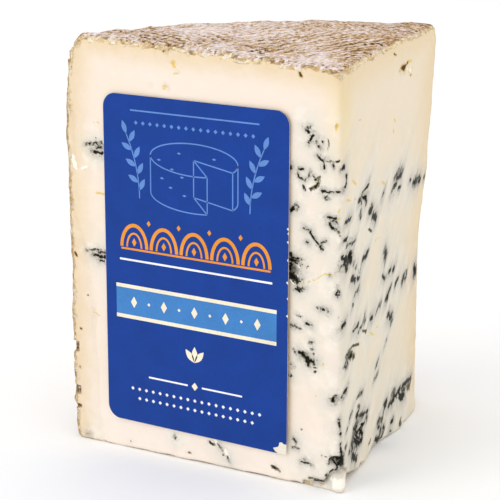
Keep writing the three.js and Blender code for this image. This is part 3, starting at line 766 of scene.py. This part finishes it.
class Shader:
    """A material and its nodes, with short calls for the nodes used here. Grains are in millimetres."""

    def __init__(self, name):
        self.material = bpy.data.materials.new(name)
        self.material.use_nodes = True
        self.tree = self.material.node_tree
        self.surface = self.tree.nodes["Principled BSDF"].inputs
        self.place = self.node("ShaderNodeTexCoord", "Object", {})

    def set(self, socket, value):
        if isinstance(value, Value):
            self.tree.links.new(value.socket, socket)
        elif socket.type == "RGBA":
            socket.default_value = (*value, 1)
        else:
            socket.default_value = value

    def node(self, kind, output, inputs, **settings):
        """What a new node gives, for its settings and what goes into it."""
        node = self.tree.nodes.new(kind)
        for name, setting in settings.items():
            setattr(node, name, setting)
        for name, value in inputs.items():
            self.set(node.inputs[name], value)
        return Value(self, node.outputs[output])

    def fact(self, name):
        return self.node("ShaderNodeAttribute", "Fac", {}, attribute_name=name)

    def drawn_out(self, place, stretch, turn):
        """The place to look a pattern up at, for it to be drawn out along an axis turned by degrees."""
        inputs = dict(Vector=place, Rotation=[math.radians(a) for a in turn], Scale=(stretch, 1, 1))
        return self.node("ShaderNodeMapping", 0, inputs, vector_type="TEXTURE")

    def noise(self, grain, detail=3, roughness=0.55, stretch=1, turn=(0, 0, 0)):
        """Noise about 0 with a spread of about 0.5 either way."""
        inputs = dict(Scale=1 / (grain * MM), Detail=detail, Roughness=roughness)
        inputs["Vector"] = self.drawn_out(self.place, stretch, turn)
        return self.node("ShaderNodeTexNoise", "Fac", inputs) - 0.5

    def cells(self, grain, warp, found="walls", stretch=1, turn=(0, 0, 0)):
        """Cells about `grain` across: the distance to their walls or middles, or else their colours."""
        bent = self.node("ShaderNodeTexNoise", "Color", dict(Vector=self.place, Scale=1 / (2 * grain * MM)))
        shifted = {0: bent, 1: (warp * MM,) * 3, 2: self.place}
        place = self.node("ShaderNodeVectorMath", 0, shifted, operation="MULTIPLY_ADD")
        inputs = dict(Vector=self.drawn_out(place, stretch, turn), Scale=1 / (grain * MM))
        output = "Color" if found == "colours" else "Distance"
        feature = "DISTANCE_TO_EDGE" if found == "walls" else "F1"
        return self.node("ShaderNodeTexVoronoi", output, inputs, feature=feature)

    def ramp(self, value, colours):
        """A colour that turns through the colours, each (value, colour), for values from 0 to 1."""
        found = self.node("ShaderNodeValToRGB", "Color", dict(Fac=value))
        elements = found.socket.node.color_ramp.elements
        while len(elements) < len(colours):
            elements.new(0.5)
        for element, (place, colour) in zip(elements, colours):
            element.position = place
            element.color = (*colour, 1)
        return found

    def mix(self, share, a, b):
        return self.node("ShaderNodeMix", "Result", dict(Factor=share, A=a, B=b), data_type="RGBA")

    def by_cut(self, labelled, second):
        """One number on the labelled cut, and another on the second."""
        return labelled + self.fact("second") * (second - labelled)

    def bump(self, height, depth):
        """Relief of a height from about -0.5 to 0.5, `depth` millimetres in all."""
        inputs = dict(Height=height, Distance=depth * MM)
        self.set(self.surface["Normal"], self.node("ShaderNodeBump", 0, inputs))


PASTE_COLOURS = dict(
    core=(0.865, 0.755, 0.66),
    cloudy=(0.855, 0.74, 0.62),
    second=(0.82, 0.71, 0.55),
    low=(0.785, 0.69, 0.535),
    # painted light: paler paste for the lower quarter of the labelled cut
    foot=(0.915, 0.81, 0.71),
    crust=(0.755, 0.592, 0.375),
    second_crust=(0.79, 0.625, 0.405),
    apex=(0.81, 0.665, 0.38),
    # painted shadow beside the label
    painted_label_shadow=(0.40, 0.27, 0.15),
    white=(0.985, 0.92, 0.82),
    gold=(0.58, 0.38, 0.13),
    yellow=(0.74, 0.53, 0.10),
    brown=(0.09, 0.042, 0.008),
    veil=(0.745, 0.705, 0.615),
    haze=(0.51, 0.48, 0.425),
    slate=(0.32, 0.30, 0.255),
    fringe=(0.21, 0.20, 0.155),
    olive=(0.095, 0.080, 0.020),
    dark=(0.009, 0.008, 0.004),
)
RIND_RAMP = [
    (0.0, (0.05, 0.024, 0.008)),
    (0.15, (0.14, 0.075, 0.024)),
    (0.26, (0.32, 0.178, 0.055)),
    (0.357, (0.485, 0.30, 0.14)),
    (0.436, (0.62, 0.45, 0.325)),
    (0.5, (0.70, 0.56, 0.495)),
    (0.6, (0.80, 0.68, 0.665)),
    (0.75, (0.92, 0.83, 0.83)),
]
RAMP_MIDDLE = 0.5
RAMP_STEP = 0.1  # the share of the ramp that one standard step of the tone covers
# How many steps each of these lightens the rind, or darkens it where it is below 0.
TONE_STEPS = dict(specks=-2.0, clouds=4.0, creases=-2.0, pits=-1.6, holes=-7.0)
FACT_STEPS = dict(worn=0.1, bloomed=1.2, tanned=-0.9, outer=-2.0)
GRAIN_STEPS = (15.0, 10.5)  # of the fine grain, where the rind is bare and where it is calm
TOP_STEPS = (-0.5, 0.6)  # on the wall and on the top
RAGGED = dict(noise=2.6, crumbs=2.0)  # how far the rind's border wanders, in millimetres
# The shares of the relief that these take up.
RELIEF = dict(tone=0.09, grain=0.5, crumbs=0.8, paste=0.08)
RIND_COLOURS = dict(
    cream=(0.84, 0.67, 0.42),
    # white: painted highlight on the crumbs
    white=(0.95, 0.86, 0.70),
    gold=(0.62, 0.43, 0.21),
    gilt=(0.64, 0.43, 0.16),
    # brown: painted shadow between the crumbs
    brown=(0.22, 0.12, 0.05),
    wall=(0.50, 0.34, 0.19),
)

# Turns, in degrees, that lay a pattern along the second cut, or along the smears on it.
ALONG_SECOND = (0, 0, 180 - math.degrees(WEDGE["angle"]))
ALONG_SMEARS = (0, -math.degrees(SMEARS["slope"]), 180 - math.degrees(WEDGE["angle"]))
# The camera sees the second cut nearly from its edge, where a pattern drawn out this far looks even.
EVEN_STRETCH = 2.4


def speck_noise(shader):
    """Fine grain of the blue: even on the labelled cut, drawn out along the smears on the second."""
    even = shader.noise(1.1, 3, 0.65)
    return shader.by_cut(even, shader.noise(1.5, 3, 0.6, 5, ALONG_SMEARS) + even * 0.4)


def vein_walls(shader):
    """The blue's fine network: the distance from the walls of cells, drawn out on the second cut."""
    return shader.by_cut(shader.cells(1.5, 1.6), shader.cells(1.4, 1.6, "walls", EVEN_STRETCH, ALONG_SMEARS))


def thread_lines(shader):
    """Thin curling threads, 1 in their middle, that run out of the blue into the paste."""
    curls = shader.by_cut(shader.noise(3.2, 3, 0.6), shader.noise(2.6, 3, 0.6, 4, ALONG_SMEARS))
    patchy = shader.fact("halo") + shader.noise(4) * 0.9
    return abs(curls).ease(0, 0.02, 1, 0) * patchy.ease(0.5, 0.8)


def plain_paste_colour(shader):
    """Cream paste, yellower towards the rind and greyer about the blue, with painted light low on the
    labelled cut and a painted shadow beside the label.
    """
    inks = PASTE_COLOURS
    second, height, veil = shader.fact("second"), shader.fact("height"), shader.fact("veil")
    colour = shader.mix(shader.noise(22, 2).ease(-0.2, 0.2), inks["core"], inks["cloudy"])
    # Painted light: the labelled cut is made paler towards its foot.
    colour = colour.under(inks["foot"], height.ease(0.25, 0) * second.ease(0.5, 0))
    colour = colour.under(inks["second"], second)
    colour = colour.under(inks["low"], height.ease(0.75, 0.3) * second)
    colour = colour.under(inks["veil"], (veil + shader.noise(6, 2) * 0.6).ease(0.1, 0.8, 0, 0.75))
    colour = colour.under(inks["apex"], shader.fact("warm") * 0.85)
    crust = shader.fact("crust") + (shader.noise(3.5) + shader.noise(1.4) * 0.6) * 0.35
    crusted = shader.mix(second, inks["crust"], inks["second_crust"])
    colour = colour.under(crusted, crust.ease(-0.1, 1.1))
    colour = colour.under(inks["gold"], crust.ease(0.86, 1.02, 0, 0.6))
    streaks = shader.noise(4.2, 3, 0.6, 5, ALONG_SMEARS).ease(-0.1, 0.25, 0, 0.25)
    colour = colour.under(inks["slate"], streaks * veil * second)
    curds = shader.noise(5.5, 3, 0.6).ease(-0.02, 0.2)
    colour = colour.under(inks["white"], curds * veil * second.ease(0, 1, 0.65, 0.3))
    # Painted shadow along the label's right edge.
    return colour.under(inks["painted_label_shadow"], shader.fact("painted_label_shadow") * 0.6)


def paste_colour(shader):
    """The paste with the blue in it."""
    inks, speck, walls = PASTE_COLOURS, speck_noise(shader), vein_walls(shader)

    def stroke(colour, kind, spread, low, high, most, ink):
        """Ink over a kind of stroke. The grain breaks its edge up by `spread`."""
        level = shader.fact(kind) + speck * spread
        return colour.under(inks[ink], level.ease(low, high, 0, most))

    def network(colour, kind, spread, low, high, wide, narrow):
        """Dark walls of the cells, where the stroke is strong enough."""
        level = (shader.fact(kind) + speck * spread).ease(low, high)
        return colour.under(inks["dark"], (walls - level * wide).ease(0, narrow, 1, 0) * level)

    haze = shader.fact("halo") + speck * 0.9
    colour = plain_paste_colour(shader).under(inks["haze"], haze.ease(0.15, 1.05, 0, 0.75))
    colour = colour.under(inks["fringe"], thread_lines(shader) * 0.7)
    colour = stroke(colour, "white", 2.2, 0.4, 0.7, 0.9, "white")
    colour = stroke(colour, "yellow", 2.4, 0.5, 0.8, 0.8, "yellow")
    colour = stroke(colour, "brown", 1.8, -0.4, 0.6, 0.75, "gold")
    colour = stroke(colour, "brown", 1.2, 0.45, 0.75, 0.97, "brown")
    colour = stroke(colour, "slate", 3.0, 0.0, 0.9, 0.85, "slate")
    colour = network(colour, "slate", 3.4, 0.1, 1.2, 0.13, 0.07)
    colour = stroke(colour, "olive", 2.8, 0.3, 0.9, 0.85, "olive")
    colour = network(colour, "olive", 2.8, 0.5, 1.4, 0.16, 0.06)
    colour = stroke(colour, "dark", 3.0, 0.3, 1.1, 0.7, "fringe")
    colour = network(colour, "dark", 3.2, 0.3, 1.1, 0.13, 0.07)
    return stroke(colour, "dark", 3.0, 0.88, 1.15, 0.98, "dark")


def rind_wrinkles(shader):
    """The grooves of the top's wrinkles, 1 in their middle."""
    found = 0.0
    for kind in WRINKLE_SETS:
        turns = shader.fact(kind + "_across") * (2 * math.pi / WRINKLES["spacing"])
        wave = turns.math("SINE") + shader.noise(4, 2, 0.5) * 2.0
        found = (wave.ease(0.3, 0.7) * shader.fact(kind)).math("MAXIMUM", found)
    return found


def rind_tone(shader):
    """How light the rind is, in standard steps about its middle tone."""
    laid = shader.noise(1.0, 2, 0.6, 1.6, (0, 0, WRINKLE_SETS["rows"][0]))
    calm = shader.fact("bloomed").math("MAXIMUM", shader.fact("rows"))
    tone = laid * calm.ease(0, 1, *GRAIN_STEPS)
    tone += shader.noise(1.7, 2, 0.6).ease(-0.15, -0.2) * TONE_STEPS["specks"]
    tone += shader.noise(12, 2) * TONE_STEPS["clouds"]
    crazed = abs(shader.noise(5, 3, 0.6)).ease(0, 0.035, 1, 0)
    tone += rind_wrinkles(shader).math("MAXIMUM", crazed * 0.5) * TONE_STEPS["creases"]
    tone += shader.fact("top").ease(0, 1, *TOP_STEPS)
    for fact, steps in FACT_STEPS.items():
        tone += shader.fact(fact) * steps
    pitted = shader.noise(18, 2) + shader.noise(2.2, 2, 0.6) * 1.3
    tone += pitted.ease(0.2, 0.27) * TONE_STEPS["pits"]
    holes = shader.cells(1.7, 1, "middles").ease(0.42, 0.34) * shader.fact("holed").ease(0.1, 0.3)
    return tone + holes * TONE_STEPS["holes"]


def rind_colour(shader, tone):
    """Dry rind with a pale bloom over golden tan, nearly black in its pits, with cream crumbs."""
    inks = RIND_COLOURS
    colour = shader.ramp(tone * RAMP_STEP + RAMP_MIDDLE, RIND_RAMP)
    colour = colour.under(inks["gilt"], shader.noise(1.5, 2, 0.6).ease(0.05, 0.13, 0, 0.45))
    colour = colour.under(inks["wall"], shader.fact("top").ease(1, 0, 0, 0.4))
    return colour.under(inks["cream"], shader.noise(2.0, 2, 0.6).ease(0.18, 0.24, 0, 0.85))


def crumb_colour(shader, crumbs):
    """The broken border between the rind and a cut: cream crumbs with gold between them, painted highlights
    in white on them and painted shadow in brown between them.
    """
    inks = RIND_COLOURS
    drawn_out = shader.noise(1.0, 2, 0.6, EVEN_STRETCH, ALONG_SECOND)
    shade = shader.by_cut(shader.noise(1.1, 2, 0.6), drawn_out) + crumbs * 0.7
    shade += shader.fact("second") * 0.03
    colour = shader.mix(shade.ease(-0.08, 0.08), inks["gold"], inks["cream"])
    # Painted highlight on the crumbs.
    colour = colour.under(inks["white"], shade.ease(0.13, 0.22))
    # Painted shadow between the crumbs.
    colour = colour.under(inks["brown"], shade.ease(-0.14, -0.21, 0, 0.75))
    return colour.under(inks["wall"], shader.fact("top").ease(1, 0, 0, 0.3))


def cheese_material():
    shader = Shader("cheese")
    second = shader.fact("second")
    drawn_out = shader.cells(1.2, 1.2, "colours", EVEN_STRETCH, ALONG_SECOND)
    crumbs = shader.mix(second, shader.cells(1.7, 1.2, "colours"), drawn_out) - 0.5
    crumbs *= second.ease(0, 1, 1, 0.5)
    drawn_out = shader.noise(2.4, 3, 0.6, EVEN_STRETCH, ALONG_SECOND)
    wander = shader.by_cut(shader.noise(3.0, 4, 0.65), drawn_out)
    edge = shader.fact("edge") + wander * RAGGED["noise"] + crumbs * RAGGED["crumbs"]
    rind = edge.ease(0.2, 0.6)
    border = abs(edge).ease(0.7, 1.3, 0.9, 0)
    tone = rind_tone(shader)
    colour = paste_colour(shader).under(rind_colour(shader, tone), rind)
    shader.set(shader.surface["Base Color"], colour.under(crumb_colour(shader, crumbs), border))
    shader.set(shader.surface["Roughness"], rind.ease(0, 1, 0.5, 0.85))
    shader.surface["Specular IOR Level"].default_value = 0.08
    shader.surface["Subsurface Weight"].default_value = 0.06
    shader.surface["Subsurface Radius"].default_value = (1, 0.6, 0.35)
    shader.surface["Subsurface Scale"].default_value = 0.8 * MM
    rough = tone * RELIEF["tone"] + shader.noise(1.9, 3, 0.65) * RELIEF["grain"]
    rough += crumbs * border * RELIEF["crumbs"]
    rough *= rind.math("MAXIMUM", border)
    shader.bump(rough + shader.noise(1.5, 3, 0.6) * RELIEF["paste"], 1.0)
    return shader.material


# ---- The label ----

INKS = dict(
    paper=(0.80, 0.74, 0.62),
    # edge: painted shade on the sheet's cut edge
    edge=(0.30, 0.21, 0.12),
    field=(0.008, 0.046, 0.27),
    pale_blue=(0.12, 0.25, 0.60),
    band=(0.055, 0.21, 0.52),
    cream=(0.86, 0.78, 0.60),
    orange=(0.80, 0.30, 0.035),
    white=(0.85, 0.86, 0.90),
)
LAYER = 0.02  # between one layer of ink and the next
INK_INSET = 0.06  # the bare edge of the paper
FINE_LINE = 0.38
LEAF = dict(points=7, swell=0.2)
# The print's rows from the top down: places from the label's middle, sizes, and bearings in degrees.
HEAD = dict(rule=46.2, rule_size=(44, 0.45), beads=42.6, count=17, pitch=2.5, bead=(1.3, 1.3))
DRAWN_WHEEL = dict(middle=(0, 33.5), radii=(15, 4.8), tall=(0, 11), cut=(-72, -28), eye=(1.5, 0.7))
EYES = [(-11, 27), (-7.5, 30), (-8, 24.5), (-4, 28), (-3.2, 22.6), (-12, 32.4), (7, 34.5), (-5, 35)]
SPRIG = dict(foot=(19, 20), rise=19, bend=4.5, count=9, leaf=4.2, outward=62, inward=-28, tip=20)
ARCHES = dict(foot=4.6, count=5, pitch=10.6, lines=[((4.5, 6.8), 1.1), ((2.6, 4.3), 0.6)], sill=0.6)
LOZENGES = dict(under=(1.6, (1.6, 2.6)), between=(8, (1.4, 1.8)))  # among the arches: height and size
MIDDLE_RULE = dict(height=0.6, size=(53, 0.62))
BAND = dict(middle=-12.5, size=(56, 8.4), edge=1.15, count=9, pitch=5.4, large=(2.2, 3.6), small=(1.1, 1.1))
LEAVES = dict(foot=(0, -28), length=5, bearings=(50, 90, 130))
FOOT = dict(middle=(0, -35.5), lozenge=(2.2, 2.6), rule=(14, 0.55), rule_middle=9.5)
FOOT_BEADS = dict(rows=[(19, -40), (17, -43)], pitch=2.5, bead=(1.2, 1.2))
# The scuffed corner, and nicks in the edge by their heights.
SCUFF = dict(middle=(1.3, 1.5), reach=2.5, ragged=0.8, step=20, margin=0.1)
NICKS = dict(
    heights=(17.2, 15.9, 13.4, 8.1, 1.5, -3.2, -8.4), depths=(0.4, 0.8), half=0.5, skew=0.1, margin=0.05
)


class Print:
    """Flat shapes on the front of the paper. Places are millimetres from the label's middle."""

    def __init__(self):
        self.places = []
        self.faces = []
        self.inks = []

    def shape(self, points, ink, layer):
        start = len(self.places)
        proud = -LABEL["thickness"] / 2 - layer * LAYER
        self.places += [(u, proud, v) for u, v in points]
        self.faces.append(list(range(start, start + len(points))))
        self.inks.append(list(INKS).index(ink))

    def line(self, points, width, ink, layer=2):
        """A line of even width through the points."""
        points = np.array(points, float)
        ahead = np.gradient(points, axis=0)
        ahead /= np.linalg.norm(ahead, axis=1, keepdims=True)
        side = np.stack([-ahead[:, 1], ahead[:, 0]], -1) * width / 2
        left, right = points + side, points - side
        for a in range(len(points) - 1):
            self.shape([right[a], right[a + 1], left[a + 1], left[a]], ink, layer)

    def box(self, middle, size, ink, layer=2):
        u, v, w, h = *middle, size[0] / 2, size[1] / 2
        self.shape([(u - w, v - h), (u + w, v - h), (u + w, v + h), (u - w, v + h)], ink, layer)

    def lozenge(self, middle, size, ink, layer=2):
        u, v, w, h = *middle, size[0] / 2, size[1] / 2
        self.shape([(u - w, v), (u, v - h), (u + w, v), (u, v + h)], ink, layer)

    def leaf(self, foot, bearing, length, ink, layer=2):
        turn = math.radians(bearing)
        ahead = np.array([math.cos(turn), math.sin(turn)])
        steps = np.linspace(0, 1, LEAF["points"])
        middle = np.array(foot) + ahead * (length * steps)[:, None]
        swell = LEAF["swell"] * length * np.sin(steps * math.pi)
        side = np.array([-ahead[1], ahead[0]]) * swell[:, None]
        self.shape(np.concatenate([middle - side, (middle + side)[-2:0:-1]]), ink, layer)


def arc(middle, radii, start, end, steps=24):
    turns = np.radians(np.linspace(start, end, steps + 1))
    return np.stack([middle[0] + radii[0] * np.cos(turns), middle[1] + radii[1] * np.sin(turns)], -1)


def rounded_outline(inset):
    """The label's outline, drawn in by `inset`, anticlockwise."""
    corner = LABEL["corner"] - inset
    right, top = LABEL["width"] / 2 - inset - corner, LABEL["height"] / 2 - inset - corner
    middles = [(right, top), (-right, top), (-right, -top), (right, -top)]
    arcs = [arc(at, (corner, corner), 90 * k, 90 * k + 90, 8) for k, at in enumerate(middles)]
    return np.concatenate(arcs)


def evenly(count, pitch):
    """Places along a row, about its middle."""
    return (np.arange(count) - (count - 1) / 2) * pitch


def draw_head(ink):
    """A fine rule over a row of beads, at the top."""
    ink.box((0, HEAD["rule"]), HEAD["rule_size"], "pale_blue")
    for u in evenly(HEAD["count"], HEAD["pitch"]):
        ink.lozenge((u, HEAD["beads"]), HEAD["bead"], "pale_blue")


def draw_wheel(ink):
    """A whole wheel of cheese in fine line, with a wedge taken from its front."""
    radii, (start, end) = DRAWN_WHEEL["radii"], DRAWN_WHEEL["cut"]
    middle, tall = np.array(DRAWN_WHEEL["middle"]), np.array(DRAWN_WHEEL["tall"])
    lines = [
        arc(middle, radii, end, 360 + start, 60),
        arc(middle - tall, radii, -180, start, 24),
        arc(middle - tall, radii, end, 0, 8),
    ]
    corners = [arc(middle, radii, bearing, bearing, 1)[0] for bearing in (start, end)]
    sides = [middle + (side * radii[0], 0) for side in (-1, 1)]
    lines += [(top, top - tall) for top in (middle, *corners, *sides)]
    lines += [(middle - drop, corner - drop) for corner in corners for drop in (0 * tall, tall)]
    for path in lines:
        ink.line(path, FINE_LINE, "pale_blue")
    for eye in EYES:
        ink.lozenge(eye, DRAWN_WHEEL["eye"], "pale_blue")


def draw_sprigs(ink):
    """A sprig of leaves on each side of the wheel."""
    u, v = SPRIG["foot"]
    steps = np.linspace(0, 1, SPRIG["count"])
    for side in (-1, 1):
        stem = [(side * (u + SPRIG["bend"] * t**2), v + SPRIG["rise"] * t) for t in steps]
        ink.line(stem, FINE_LINE, "pale_blue")
        for k, foot in enumerate(stem[1:-1]):
            out = SPRIG["outward" if k % 2 else "inward"]
            ink.leaf(foot, 90 - side * out, SPRIG["leaf"], "pale_blue")
        ink.leaf(stem[-1], 90 - side * SPRIG["tip"], SPRIG["leaf"], "pale_blue")


def draw_arches(ink):
    """A row of orange arches, each over a lozenge, with another lozenge between two."""
    count, pitch, foot = ARCHES["count"], ARCHES["pitch"], ARCHES["foot"]
    for u in evenly(count, pitch):
        for radii, width in ARCHES["lines"]:
            ink.line(arc((u, foot), radii, 0, 180), width, "orange")
    for number, kind in ((count, "under"), (count - 1, "between")):
        rise, size = LOZENGES[kind]
        for u in evenly(number, pitch):
            ink.lozenge((u, foot + rise), size, "orange")
    sill = ARCHES["sill"]
    ink.box((0, foot - sill), (count * pitch - 2 * sill, sill), "orange")


def draw_band(ink):
    """A plain blue band with cream edges, and a row of cream lozenges and dots in it."""
    middle, (width, height), edge = BAND["middle"], BAND["size"], BAND["edge"]
    ink.box((0, middle), (width, height), "band", 1.5)
    for side in (-1, 1):
        ink.box((0, middle + side * (height + edge) / 2), (width, edge), "cream")
    for k, u in enumerate(evenly(BAND["count"], BAND["pitch"])):
        ink.lozenge((u, middle), BAND["small" if k % 2 else "large"], "cream")


def draw_foot(ink):
    """The lower part: three cream leaves, and two rows of beads with a lozenge between fine rules."""
    for bearing in LEAVES["bearings"]:
        ink.leaf(LEAVES["foot"], bearing, LEAVES["length"], "cream")
    ink.lozenge(FOOT["middle"], FOOT["lozenge"], "cream")
    for side in (-1, 1):
        ink.box((side * FOOT["rule_middle"], FOOT["middle"][1]), FOOT["rule"], "white")
    for count, height in FOOT_BEADS["rows"]:
        for u in evenly(count, FOOT_BEADS["pitch"]):
            ink.lozenge((u, height), FOOT_BEADS["bead"], "white")


def draw_wear(ink):
    """The scuffed lower corner, where the paper shows, and nicks in the edge beside the apex."""
    random = np.random.default_rng(5)
    right, foot = LABEL["width"] / 2, -LABEL["height"] / 2
    middle = np.array([right - SCUFF["middle"][0], foot + SCUFF["middle"][1]])
    turns = np.radians(np.arange(0, 360, SCUFF["step"]))
    reach = SCUFF["reach"] + random.uniform(-SCUFF["ragged"], SCUFF["ragged"], len(turns))
    u, v = (middle + reach[:, None] * np.stack([np.cos(turns), np.sin(turns)], -1)).T
    margin = SCUFF["margin"]
    ink.shape(np.stack([np.minimum(u, right - margin), np.maximum(v, foot + margin)], -1), "paper", 4)
    edge, half = right - NICKS["margin"], NICKS["half"]
    for v in NICKS["heights"]:
        deep = right - random.uniform(*NICKS["depths"])
        ink.shape([(edge, v - half), (edge, v + half), (deep, v + NICKS["skew"])], "paper", 4)


def ink_material(name, colour):
    """Printed paper: the ink is a little uneven, and the sheet has a faint tooth and waves."""
    shader = Shader("label_" + name)
    uneven = shader.noise(7, 3) + shader.noise(0.7, 3, 0.7) * 0.8
    deep, light = (tuple(strength * c for c in colour) for strength in (0.9, 1.12))
    shader.set(shader.surface["Base Color"], shader.mix(uneven.ease(-0.4, 0.4), deep, light))
    shader.set(shader.surface["Roughness"], uneven.ease(-0.5, 0.5, 0.5, 0.65))
    shader.surface["Specular IOR Level"].default_value = 0.12
    shader.bump(shader.noise(16, 1) + shader.noise(0.5, 3) * 0.06, 0.5)
    return shader.material


def add_sheet(ink):
    """The sheet of paper under the ink, with its back and its cut edge, which is painted brown as shade."""
    outline = rounded_outline(0)
    start, count, half = len(ink.places), len(outline), LABEL["thickness"] / 2
    ink.places += [(u, -half, v) for u, v in outline] + [(u, half, v) for u, v in outline]
    front, back = list(range(start, start + count)), list(range(start + count, start + 2 * count))
    around = [(i + 1) % count for i in range(count)]
    edge = [[front[i], back[i], back[j], front[j]] for i, j in enumerate(around)]
    ink.faces += [front, back[::-1], *edge]
    names = list(INKS)
    # The cut edge takes the brown edge ink, which is painted shade.
    ink.inks += [names.index("paper")] * 2 + [names.index("edge")] * count


def label_piece():
    ink = Print()
    add_sheet(ink)
    ink.shape(rounded_outline(INK_INSET), "field", 1)
    draw_head(ink)
    draw_wheel(ink)
    draw_sprigs(ink)
    draw_arches(ink)
    ink.box((0, MIDDLE_RULE["height"]), MIDDLE_RULE["size"], "white")
    draw_band(ink)
    draw_foot(ink)
    draw_wear(ink)
    mesh = bpy.data.meshes.new("paper_label")
    turned = Matrix.Rotation(math.radians(LABEL["turn"]), 4, "Y")
    middle = Matrix.Translation(label_middle)
    mesh.from_pydata([middle @ turned @ (Vector(place) * MM) for place in ink.places], [], ink.faces)
    mesh.polygons.foreach_set("material_index", ink.inks)
    for name, colour in INKS.items():
        mesh.materials.append(ink_material(name, colour))
    return added("paper_label", mesh)


# ---- Floor, light and camera ----

# The camera's bearings in degrees, and its distance from the spot that it looks at, which is given from the
# label's middle in millimetres. So are the lens and its sensor. The other sizes here are metres.
CAMERA = dict(azimuth=31, elevation=14.4, roll=-0.7, distance=457, aim=(26.76, -12.73, 12.9))
LENS = dict(length=118.8, sensor=36, nearest=0.02)
FLOOR = dict(half=4.0, colour=(0.93, 0.93, 0.93, 1), roughness=0.9)
SKY = 1.06  # the strength of the white light from all round
KEY = dict(place=(-0.55, -0.95, 0.9), size=0.7, energy=3.2)


def floor_piece():
    mesh = bpy.data.meshes.new("floor")
    corners = [(u * FLOOR["half"], v * FLOOR["half"], 0) for u, v in ((-1, -1), (1, -1), (1, 1), (-1, 1))]
    mesh.from_pydata(corners, [], [(0, 1, 2, 3)])
    shader = Shader("floor")
    shader.surface["Base Color"].default_value = FLOOR["colour"]
    shader.surface["Roughness"].default_value = FLOOR["roughness"]
    mesh.materials.append(shader.material)
    return added("floor", mesh)


def add_lights():
    """White light from all round, and a soft square lamp that faces the label's middle."""
    world = bpy.data.worlds.new("studio")
    world.use_nodes = True
    background = world.node_tree.nodes["Background"]
    background.inputs["Color"].default_value = (1, 1, 1, 1)
    background.inputs["Strength"].default_value = SKY
    bpy.context.scene.world = world
    lamp = bpy.data.lights.new("key", "AREA")
    lamp.size, lamp.energy = KEY["size"], KEY["energy"]
    light = added("key", lamp)
    light.location = Vector(KEY["place"])
    light.rotation_euler = (label_middle - light.location).to_track_quat("-Z", "Y").to_euler()


def add_camera():
    azimuth, elevation, roll = (math.radians(CAMERA[k]) for k in ("azimuth", "elevation", "roll"))
    level = math.cos(elevation)
    back = Vector((math.sin(azimuth) * level, -math.cos(azimuth) * level, math.sin(elevation)))
    right = Vector((math.cos(azimuth), math.sin(azimuth), 0))
    up = back.cross(right)
    turned_right = right * math.cos(roll) + up * math.sin(roll)
    turned_up = up * math.cos(roll) - right * math.sin(roll)
    place = label_middle + MM * (Vector(CAMERA["aim"]) + CAMERA["distance"] * back)
    camera = added("camera", bpy.data.cameras.new("camera"))
    camera.data.lens = LENS["length"]
    camera.data.sensor_width = LENS["sensor"]
    camera.data.clip_start = LENS["nearest"]
    axes = Matrix((turned_right, turned_up, back)).transposed().to_4x4()
    camera.matrix_world = Matrix.Translation(place) @ axes
    bpy.context.scene.camera = camera


# ---- The scene ----

cheese = cheese_piece()
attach(cheese, "root")
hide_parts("cheese")

label = label_piece()
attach(label, "root")
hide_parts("label")

floor_piece()
add_lights()
add_camera()
bpy.context.scene.view_settings.view_transform = "Standard"
